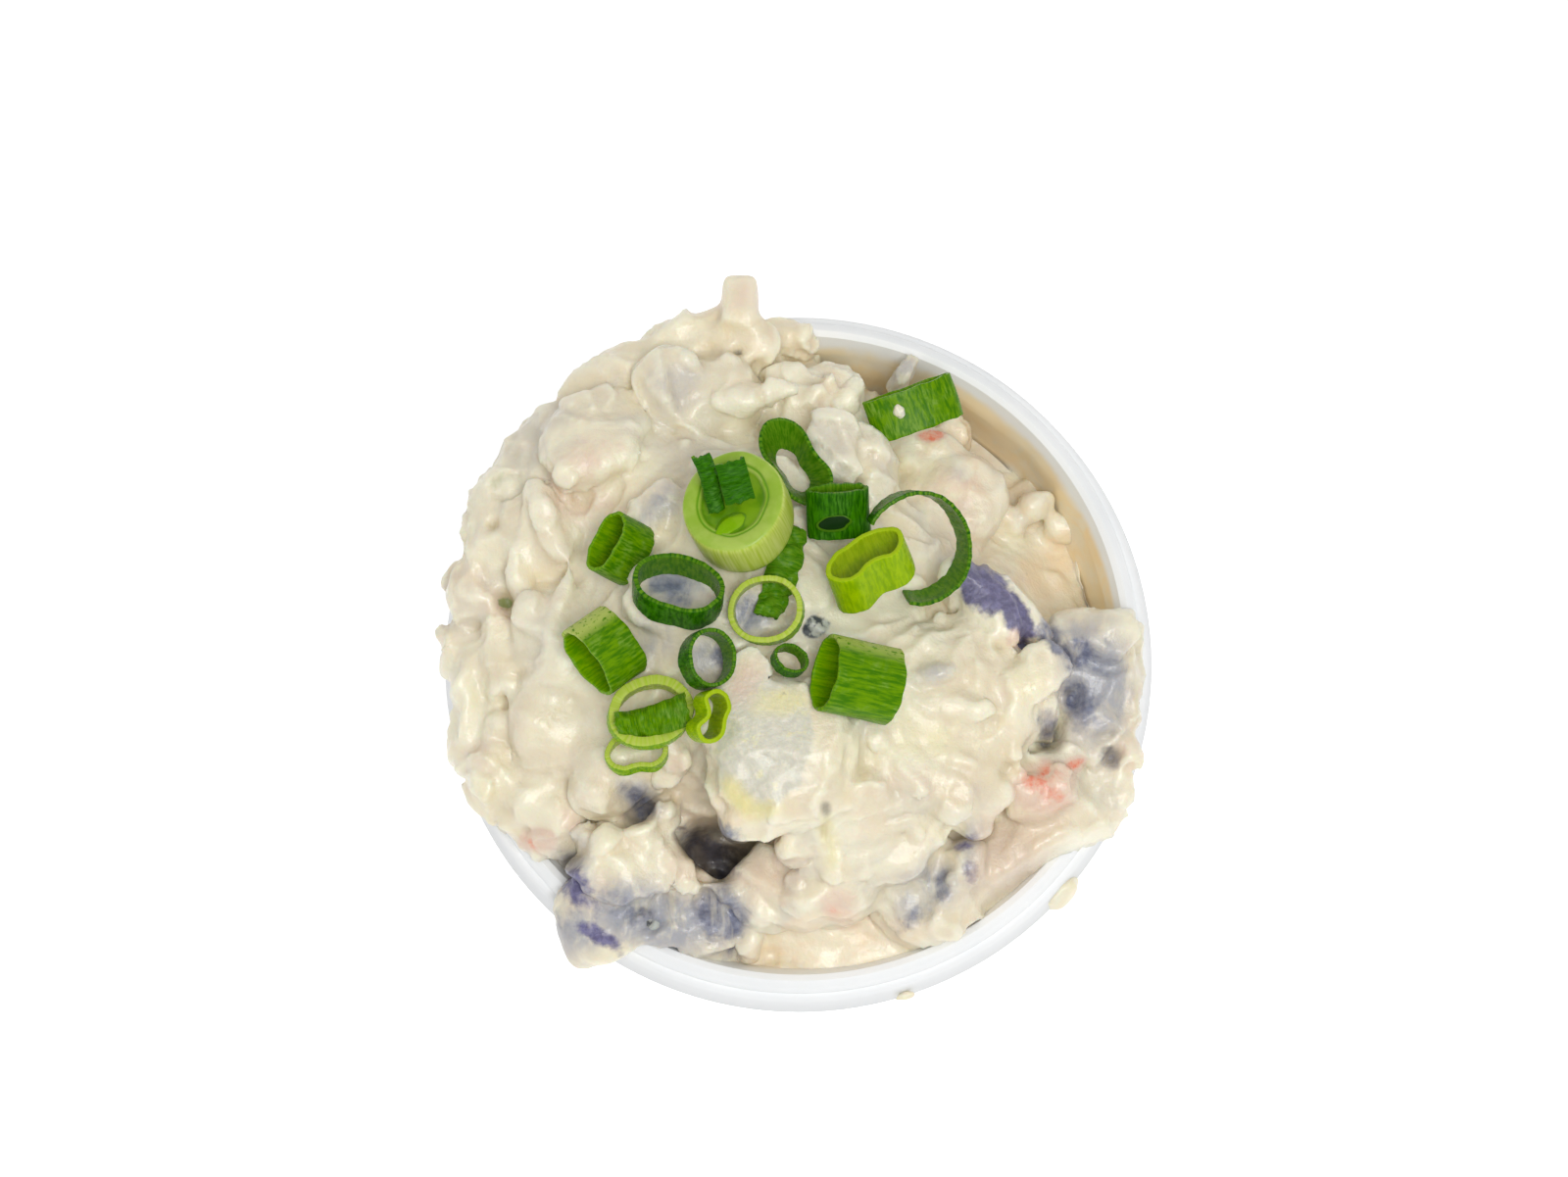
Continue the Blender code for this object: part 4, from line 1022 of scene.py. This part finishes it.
def salad_foot():
    """The plain part of the salad down in the cup, which nothing shows."""
    bm = bmesh.new()
    low = FLOOR + FOOT_LIFT
    high = HEAP_FOOT + FOOT_OVERLAP
    slope = (FLOOR_IN - MOUTH_IN) / (CUP_HEIGHT - MOUTH_DROP - FLOOR - FOOT_DROP)
    low_radius = RIM_RADIUS - FLOOR_IN - FOOT_IN
    high_radius = low_radius + slope * (high - low)
    bmesh.ops.create_cone(bm, cap_ends=True, segments=CUP_STEPS, radius1=low_radius,
                          radius2=high_radius, depth=high - low)
    bmesh.ops.translate(bm, vec=(0, 0, (high + low) / 2), verts=bm.verts)
    return mesh_object("salad_foot", bm)


def frame_of(lean, turn):
    """Axes of a piece: its long side, its short side and the axis that leans by lean."""
    rise = math.sqrt(max(1.0 - lean[0] ** 2 - lean[1] ** 2, 0.0))
    axis = Vector((lean[0], lean[1], rise)).normalized()
    angle = math.radians(turn)
    side = Vector((math.cos(angle), math.sin(angle), 0.0))
    side = (side - axis * side.dot(axis)).normalized()
    return Matrix((side, axis.cross(side), axis)).transposed()


def grid(across, along):
    """A flat grid from 0 to 1 each way, with its own map."""
    bm = bmesh.new()
    bm.loops.layers.uv.new("grid")
    bmesh.ops.create_grid(bm, x_segments=across, y_segments=along, size=0.5, calc_uvs=True)
    bmesh.ops.translate(bm, vec=(0.5, 0.5, 0.0), verts=bm.verts)
    return bm


def fit_to_node(made, node):
    """Moves a piece's mesh so that the middle of its box is the middle of its node's box."""
    low, high = (Vector(corner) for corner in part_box(node))
    corners = [vert.co for vert in made.data.vertices]
    own_low = Vector([min(co[axis] for co in corners) for axis in range(3)])
    own_high = Vector([max(co[axis] for co in corners) for axis in range(3)])
    made.data.transform(Matrix.Translation((low + high - own_low - own_high) / 2))


def dress_scallion(made, node, skin, wall):
    """Gives a sheet of scallion its wall, its materials, its node's place and rounded edges."""
    thick = made.modifiers.new("wall", "SOLIDIFY")
    thick.thickness = wall * WALL_SHARE * MM
    thick.offset = -1.0
    thick.use_even_offset = True
    thick.material_offset = 1
    thick.material_offset_rim = 2
    for found in skin_materials(skin):
        made.data.materials.append(found)
    apply_modifiers(made)
    fit_to_node(made, node)
    edge = made.modifiers.new("edge", "BEVEL")
    edge.width = min(EDGE_WIDTH, wall * EDGE_SHARE) * MM
    edge.segments = 2
    edge.limit_method = "ANGLE"
    edge.angle_limit = math.radians(50)
    apply_modifiers(made)
    shade_smooth(made, 50)
    finish_piece(made, [node])


def cut_tube(index, node, skin, lean, turn, half, wall, length, pinches, whole, flare):
    """A cut length of scallion: a grid rolled into an uneven tube with ragged ends."""
    bm = grid(TUBE_ROUND, TUBE_LONG)
    axes = frame_of(lean, turn)
    shift = Vector((index * 5.7, index * 2.3, 0.0))
    bare = bm.verts.layers.float.new("bare")
    stripe = Vector(BARE_STRIPES.get(node, (0.0, 0.0, 0.0)))
    for vert in bm.verts:
        share, level = vert.co.x, vert.co.y
        angle = math.tau * whole * (share - 0.5)
        east, north = math.cos(angle), math.sin(angle)
        round_place = Vector((east, north, 0.0))
        pinch = pinches[0] if north > 0 else pinches[1]
        waist = 1.0 - pinch * math.exp(-(east / 0.4) ** 2)
        swell = 1.0 + 0.05 * noise.noise(round_place * 1.3 + shift + Vector((0, 0, level)))
        swell += 0.006 * math.sin(angle * 30 + 2.0 * noise.noise(round_place * 2 + shift))
        swell += flare * (level - 0.5)
        ragged = 0.22 * noise.noise(round_place * 3.2 + shift) * (2 * level - 1) ** 3
        height = (level - 0.5) * (length - 0.3) + ragged
        flat = Vector((half[0] * east * swell, half[1] * north * waist * swell, height))
        vert[bare] = min(max((axes @ round_place).dot(stripe) * 6.0 - 4.4, 0.0), 1.0)
        vert.co = axes @ flat
    if whole == 1.0:
        bmesh.ops.remove_doubles(bm, verts=bm.verts, dist=0.001)
    bmesh.ops.recalc_face_normals(bm, faces=bm.faces)
    probe = max(bm.faces, key=lambda face: face.calc_center_median().length)
    if probe.normal.dot(probe.calc_center_median()) < 0:
        bmesh.ops.reverse_faces(bm, faces=bm.faces)
    dress_scallion(mesh_object(node + "_piece", bm), node, skin, wall)


def cut_leaf(index, node, skin, lean, turn, half, curl, bow, taper):
    """A bit of leaf: a grid curled about its long axis and wrinkled, with ruffled sides."""
    bm = grid(LEAF_LONG, LEAF_ACROSS)
    axes = frame_of(lean, turn)
    shift = Vector((index * 3.1, 0.0, 7.0))
    for vert in bm.verts:
        along, across = 2 * vert.co.x - 1, 2 * vert.co.y - 1
        bend = across * curl
        spread = half[1] / curl
        wrinkle = (0.2 + 1.6 * taper) * noise.noise(Vector((along * 5.5, across * 1.6, 0.0)) + shift)
        x = along * half[0] + 0.3 * noise.noise(Vector((across * 3, 0, 0)) + shift) * along ** 3
        y = spread * math.sin(bend) * (1.0 - taper * (0.5 - 0.5 * along) ** 2) + bow * along ** 2
        ruffle = 0.6 * taper * across ** 2 * math.sin(along * 16.0 + across * 2.0)
        z = spread * math.cos(bend) - spread + wrinkle + ruffle + 0.3 * math.sin(along * 4.0)
        vert.co = axes @ Vector((x, y, z))
    bmesh.ops.recalc_face_normals(bm, faces=bm.faces)
    dress_scallion(mesh_object(node + "_piece", bm), node, skin, LEAF_THICKNESS)


def bulb_material():
    """Pale flesh, greener at the skin between its layers and in its hollow."""
    n = Nodes("bulb_flesh")
    place = n.coordinates()
    zone = n.attribute("zone")
    cloud = n.noise(place, 260.0, 4.0)
    fibres = n.noise(n.coordinates((60.0, 1.5, 1.0), "UV"), 2.0, 3.0)
    side = n.mix(n.spread(fibres, 0.35, 0.65), srgb(178, 198, 62), srgb(204, 216, 116))
    face = n.mix(n.spread(cloud, 0.35, 0.65), srgb(146, 180, 50), srgb(172, 196, 86))
    colour = n.mix(n.spread(zone, 0.02, 0.2), side, face)
    line = n.times(n.spread(zone, 0.42, 0.5), n.spread(zone, 0.5, 0.58, 1.0, 0.0))
    colour = n.mix(line, colour, srgb(104, 158, 0))
    middle = n.mix(n.spread(cloud, 0.4, 0.6), srgb(90, 140, 0), srgb(122, 164, 14))
    colour = n.mix(n.spread(zone, 0.6, 0.9), colour, middle)
    n.link(colour, n.shader.inputs["Base Color"])
    n.bump(n.plus(cloud, n.times(fibres, 0.5)), 0.2, 0.0002)
    n.surface(Roughness=0.32, Subsurface_Weight=0.3, Subsurface_Radius=(0.8, 1.0, 0.3),
              Subsurface_Scale=0.0012, Specular_IOR_Level=0.35)
    return n.material


def bulb_slice():
    """The bulb slice: rows round its axis from its foot over its layered face."""
    rows = len(BULB_ROWS) - 1
    bm = grid(TUBE_ROUND, rows)
    zone = bm.verts.layers.float.new("zone")
    axes = frame_of(BULB_LEAN, 0)
    for vert in bm.verts:
        share, height, colour_zone = BULB_ROWS[round(vert.co.y * rows)]
        angle = math.tau * vert.co.x
        east, north = math.cos(angle), math.sin(angle)
        wobble = 1.0 + 0.035 * noise.noise(Vector((east, north, share * 2.0)) * 1.4)
        if colour_zone >= 0.4:
            wobble += 0.12 * noise.noise(Vector((east, north, 3.0)) * 1.6)
        aside = (1.0 - share) * BULB_ASLANT_TIMES if colour_zone > 0.3 else 0.0
        x = BULB_RADII[0] * (share * east * wobble + BULB_ASLANT[0] * aside)
        y = BULB_RADII[1] * (share * north * wobble + BULB_ASLANT[1] * aside)
        lift = 0.12 * noise.noise(Vector((x, y, 0.0)) * 0.5) if height > 0 else 0.0
        vert.co = axes @ Vector((x, y, height + lift))
        vert[zone] = colour_zone
    bmesh.ops.remove_doubles(bm, verts=bm.verts, dist=0.001)
    bmesh.ops.recalc_face_normals(bm, faces=bm.faces)
    made = mesh_object("bulb_slice_piece", bm)
    made.data.materials.append(bulb_material())
    fit_to_node(made, "bulb_slice")
    smooth = made.modifiers.new("smooth", "SUBSURF")
    smooth.levels = smooth.render_levels = 1
    made.data.shade_smooth()
    finish_piece(made, ["bulb_slice"])


def lay_detail(name, material, spot, lift, half, turn):
    """Lays a small rounded bit at a height, or on the piece under it and leaning as that does."""
    ball = bmesh.new()
    bmesh.ops.create_icosphere(ball, subdivisions=BALL_DETAIL, radius=1.0)
    normal = Vector((0, 0, 1))
    height = (CUP_HEIGHT + (lift or 0.0)) * MM
    if lift is None:
        context = bpy.context
        start = Vector((spot[0] * MM, spot[1] * MM, LOOK_FROM))
        graph = context.evaluated_depsgraph_get()
        hit, point, normal, _, _, _ = context.scene.ray_cast(graph, start, Vector((0, 0, -1)))
        if not hit:
            raise RuntimeError("nothing under " + name)
        height = point.z
    axes = normal.to_track_quat("Z", "Y").to_matrix() @ Matrix.Rotation(math.radians(turn), 3, "Z")
    for vert in ball.verts:
        bump = 1.0 + 0.25 * noise.noise(vert.co * 1.3 + Vector((spot[0], spot[1], 0)))
        point = vert.co * bump
        vert.co = axes @ Vector((point.x * half[0], point.y * half[1], point.z * half[2]))
        vert.co += Vector((spot[0], spot[1], height / MM))
    made = mesh_object(name, ball)
    # A material not yet made, such as the hole's, is flat dark green: painted shade.
    if material not in bpy.data.materials:
        n = Nodes(material)
        n.surface(Base_Color=srgb(14, 46, 6), Roughness=0.5, Specular_IOR_Level=0.1)
    made.data.materials.append(bpy.data.materials[material])
    made.data.shade_smooth()
    finish_piece(made, [])


def area_light(name, place, aim, width, power):
    """Adds a round soft light that aims at a point."""
    data = bpy.data.lights.new(name, "AREA")
    data.shape = "DISK"
    data.size = width
    data.energy = power
    made = add_object(name, data)
    made.location = place
    made.rotation_euler = (Vector(aim) - Vector(place)).to_track_quat("-Z", "Y").to_euler()


class CupSettings(bpy.types.PropertyGroup):
    """Colours of the foam and thickness of the smear"""
    white: bpy.props.FloatVectorProperty(
        name="Foam", description="Colour of the foam", default=(0.92, 0.93, 0.93),
        subtype="COLOR", min=0.0, max=1.0)
    shade: bpy.props.FloatVectorProperty(
        name="Foam in shade", description="Slightly greyer foam between the white",
        default=(0.87, 0.885, 0.89), subtype="COLOR", min=0.0, max=1.0)
    # The outside colour is painted shade on the outer band and outer wall, not a duller foam.
    outside: bpy.props.FloatVectorProperty(
        name="Outside", description="Duller foam on the outer band and wall",
        default=(0.73, 0.74, 0.745), subtype="COLOR", min=0.0, max=1.0)
    smear: bpy.props.FloatProperty(
        name="Smear", description="Thickness of the dressing left on the inner wall",
        default=0.0007, min=0.0, max=0.002, unit="LENGTH", precision=5)


class SaladSettings(bpy.types.PropertyGroup):
    """Colours and surface of the salad"""
    cream: bpy.props.FloatVectorProperty(
        name="Dressing", description="Main colour of the dressing",
        default=srgb(240, 234, 209)[:3], subtype="COLOR", min=0.0, max=1.0)
    warm: bpy.props.FloatVectorProperty(
        name="Warm dressing", description="Warmer colour in broad places",
        default=srgb(232, 219, 190)[:3], subtype="COLOR", min=0.0, max=1.0)
    # The pale dressing colour is random pale tone, and also painted light on crests.
    white: bpy.props.FloatVectorProperty(
        name="Pale dressing", description="Paler colour on small places",
        default=srgb(248, 244, 222)[:3], subtype="COLOR", min=0.0, max=1.0)
    # The hollow colour is painted shade in hollows, together with the dressing gathered there.
    hollow: bpy.props.FloatVectorProperty(
        name="Hollows", description="Colour of the dressing gathered in hollows",
        default=srgb(200, 184, 148)[:3], subtype="COLOR", min=0.0, max=1.0)
    softness: bpy.props.IntProperty(
        name="Softness", description="How often the forms under the dressing are rounded",
        default=5, min=0, max=40)
    relief: bpy.props.FloatProperty(
        name="Relief", description="Strength of the folds in the dressing", default=1.0,
        min=0.0, max=2.0)


class StageSettings(bpy.types.PropertyGroup):
    """Strength of the lights"""
    key_power: bpy.props.FloatProperty(
        name="Key light", description="Power of the soft light high at the front right",
        default=3.2, min=0.0, unit="POWER")
    fill_power: bpy.props.FloatProperty(
        name="Fill light", description="Power of the broad soft light high at the left",
        default=0.45, min=0.0, unit="POWER")
    sky: bpy.props.FloatProperty(
        name="Room light", description="Strength of the even light from all round",
        default=0.46, min=0.0)


class MESH_OT_foam_cup(bpy.types.Operator):
    """Build the foam cup with the dressing that clings to its inner wall"""
    bl_idname = "mesh.foam_cup"
    bl_label = "Foam Cup"

    def execute(self, context):
        settings = context.scene.salad_cup
        made = mesh_object("foam_cup", cup_bmesh())
        places, normals, _ = vertex_arrays(made.data)
        radius = np.hypot(places[:, 0], places[:, 1])
        inner = (radius < wall_radius(places[:, 2]) + 1.0) & (places[:, 2] > FLOOR + 2)
        depths = np.array([smear_depth(*place) if inside else 0.0
                           for place, inside in zip(places, inner)])
        places += normals * (depths * settings.smear / MM)[:, None]
        place_vertices(made.data, places)
        set_attribute(made.data, "stain", depths)
        # The band value marks the outer band and outer wall for painted shade.
        rim_share = radius - (RIM_RADIUS - RIDGE_IN)
        under = (CUP_HEIGHT - RIDGE_DROP - places[:, 2]) / 1.5
        set_attribute(made.data, "band", np.clip(np.maximum(rim_share, under), 0, 1) * ~inner)
        made.data.materials.append(foam_material(settings))
        shade_smooth(made, 40)
        finish_piece(made, ["cup"])
        return {"FINISHED"}


class MESH_OT_salad_heap(bpy.types.Operator):
    """Build the heap of potato salad and its plain foot in the cup"""
    bl_idname = "mesh.salad_heap"
    bl_label = "Salad Heap"

    def execute(self, context):
        settings = context.scene.salad_heap
        finish = salad_material(settings)
        for made in (grow_salad(settings), salad_foot()):
            made.data.materials.append(finish)
            finish_piece(made, ["salad"])
        return {"FINISHED"}


class MESH_OT_scallion(bpy.types.Operator):
    """Build the cut lengths and rings of scallion"""
    bl_idname = "mesh.scallion"
    bl_label = "Scallion Rings"

    def execute(self, context):
        for index, row in enumerate(TUBES):
            cut_tube(index, *row)
        return {"FINISHED"}


class MESH_OT_scallion_leaves(bpy.types.Operator):
    """Build the loose bits of scallion leaf"""
    bl_idname = "mesh.scallion_leaves"
    bl_label = "Scallion Leaves"

    def execute(self, context):
        for index, row in enumerate(LEAVES):
            cut_leaf(index, *row)
        return {"FINISHED"}


class MESH_OT_bulb_slice(bpy.types.Operator):
    """Build the thick slice of the bulb end"""
    bl_idname = "mesh.bulb_slice"
    bl_label = "Bulb Slice"

    def execute(self, context):
        bulb_slice()
        return {"FINISHED"}


class MESH_OT_small_details(bpy.types.Operator):
    """Lay the small drops and marks on the scallion and the rim"""
    bl_idname = "mesh.small_details"
    bl_label = "Small Details"

    def execute(self, context):
        for row in DETAILS:
            lay_detail(*row)
        return {"FINISHED"}


class SCENE_OT_salad_stage(bpy.types.Operator):
    """Build the floor, the lights and the camera"""
    bl_idname = "scene.salad_stage"
    bl_label = "Salad Stage"

    def execute(self, context):
        settings = context.scene.salad_stage
        bm = bmesh.new()
        bmesh.ops.create_grid(bm, x_segments=1, y_segments=1, size=FLOOR_HALF)
        floor = mesh_object("floor", bm)
        n = Nodes("floor_white")
        n.surface(Base_Color=(0.95, 0.95, 0.95, 1.0), Roughness=0.7,
                  Emission_Color=(1.0, 1.0, 1.0, 1.0), Emission_Strength=0.45)
        floor.data.materials.append(n.material)
        top = Vector((0.0, 0.0, CUP_HEIGHT * MM))
        area_light("key", KEY_PLACE, top, KEY_WIDTH, settings.key_power)
        area_light("fill", FILL_PLACE, top, FILL_WIDTH, settings.fill_power)
        world = bpy.data.worlds.new("room")
        world.use_nodes = True
        shader = world.node_tree.nodes["Background"]
        shader.inputs["Color"].default_value = (1.0, 1.0, 1.0, 1.0)
        shader.inputs["Strength"].default_value = settings.sky
        context.scene.world = world
        context.scene.view_settings.view_transform = "Standard"
        camera = add_object("camera", bpy.data.cameras.new("camera"))
        camera.data.lens = LENS
        camera.data.sensor_fit = "HORIZONTAL"
        camera.data.clip_start = 0.01
        tilt = math.radians(LOOK_DOWN)
        back = Vector((0.0, -math.cos(tilt), math.sin(tilt)))
        camera.location = (Vector(AIM) + back * CAMERA_DISTANCE) * MM
        camera.rotation_euler = (math.radians(90.0 - LOOK_DOWN), 0.0, 0.0)
        context.scene.camera = camera
        return {"FINISHED"}


OPERATORS = (
    MESH_OT_foam_cup,
    MESH_OT_salad_heap,
    MESH_OT_scallion,
    MESH_OT_scallion_leaves,
    MESH_OT_bulb_slice,
    MESH_OT_small_details,
    SCENE_OT_salad_stage,
)


class VIEW3D_PT_salad(bpy.types.Panel):
    """Lists the pieces of the salad and their settings"""
    bl_label = "Potato Salad Cup"
    bl_idname = "VIEW3D_PT_salad"
    bl_space_type = "VIEW_3D"
    bl_region_type = "UI"
    bl_category = "Salad"

    def draw(self, context):
        for operator in OPERATORS:
            self.layout.operator(operator.bl_idname)
        for group in ("salad_cup", "salad_heap", "salad_stage"):
            settings = getattr(context.scene, group)
            for name in settings.__annotations__:
                self.layout.prop(settings, name)


CLASSES = (CupSettings, SaladSettings, StageSettings) + OPERATORS + (VIEW3D_PT_salad,)


def register():
    for item in CLASSES:
        bpy.utils.register_class(item)
    bpy.types.Scene.salad_cup = bpy.props.PointerProperty(type=CupSettings)
    bpy.types.Scene.salad_heap = bpy.props.PointerProperty(type=SaladSettings)
    bpy.types.Scene.salad_stage = bpy.props.PointerProperty(type=StageSettings)


def unregister():
    del bpy.types.Scene.salad_stage
    del bpy.types.Scene.salad_heap
    del bpy.types.Scene.salad_cup
    for item in reversed(CLASSES):
        bpy.utils.unregister_class(item)


def main():
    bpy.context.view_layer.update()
    noise.seed_set(NOISE_SEED)
    register()
    for operator in OPERATORS:
        family, name = operator.bl_idname.split(".")
        getattr(getattr(bpy.ops, family), name)()


if __name__ == "__main__":
    main()
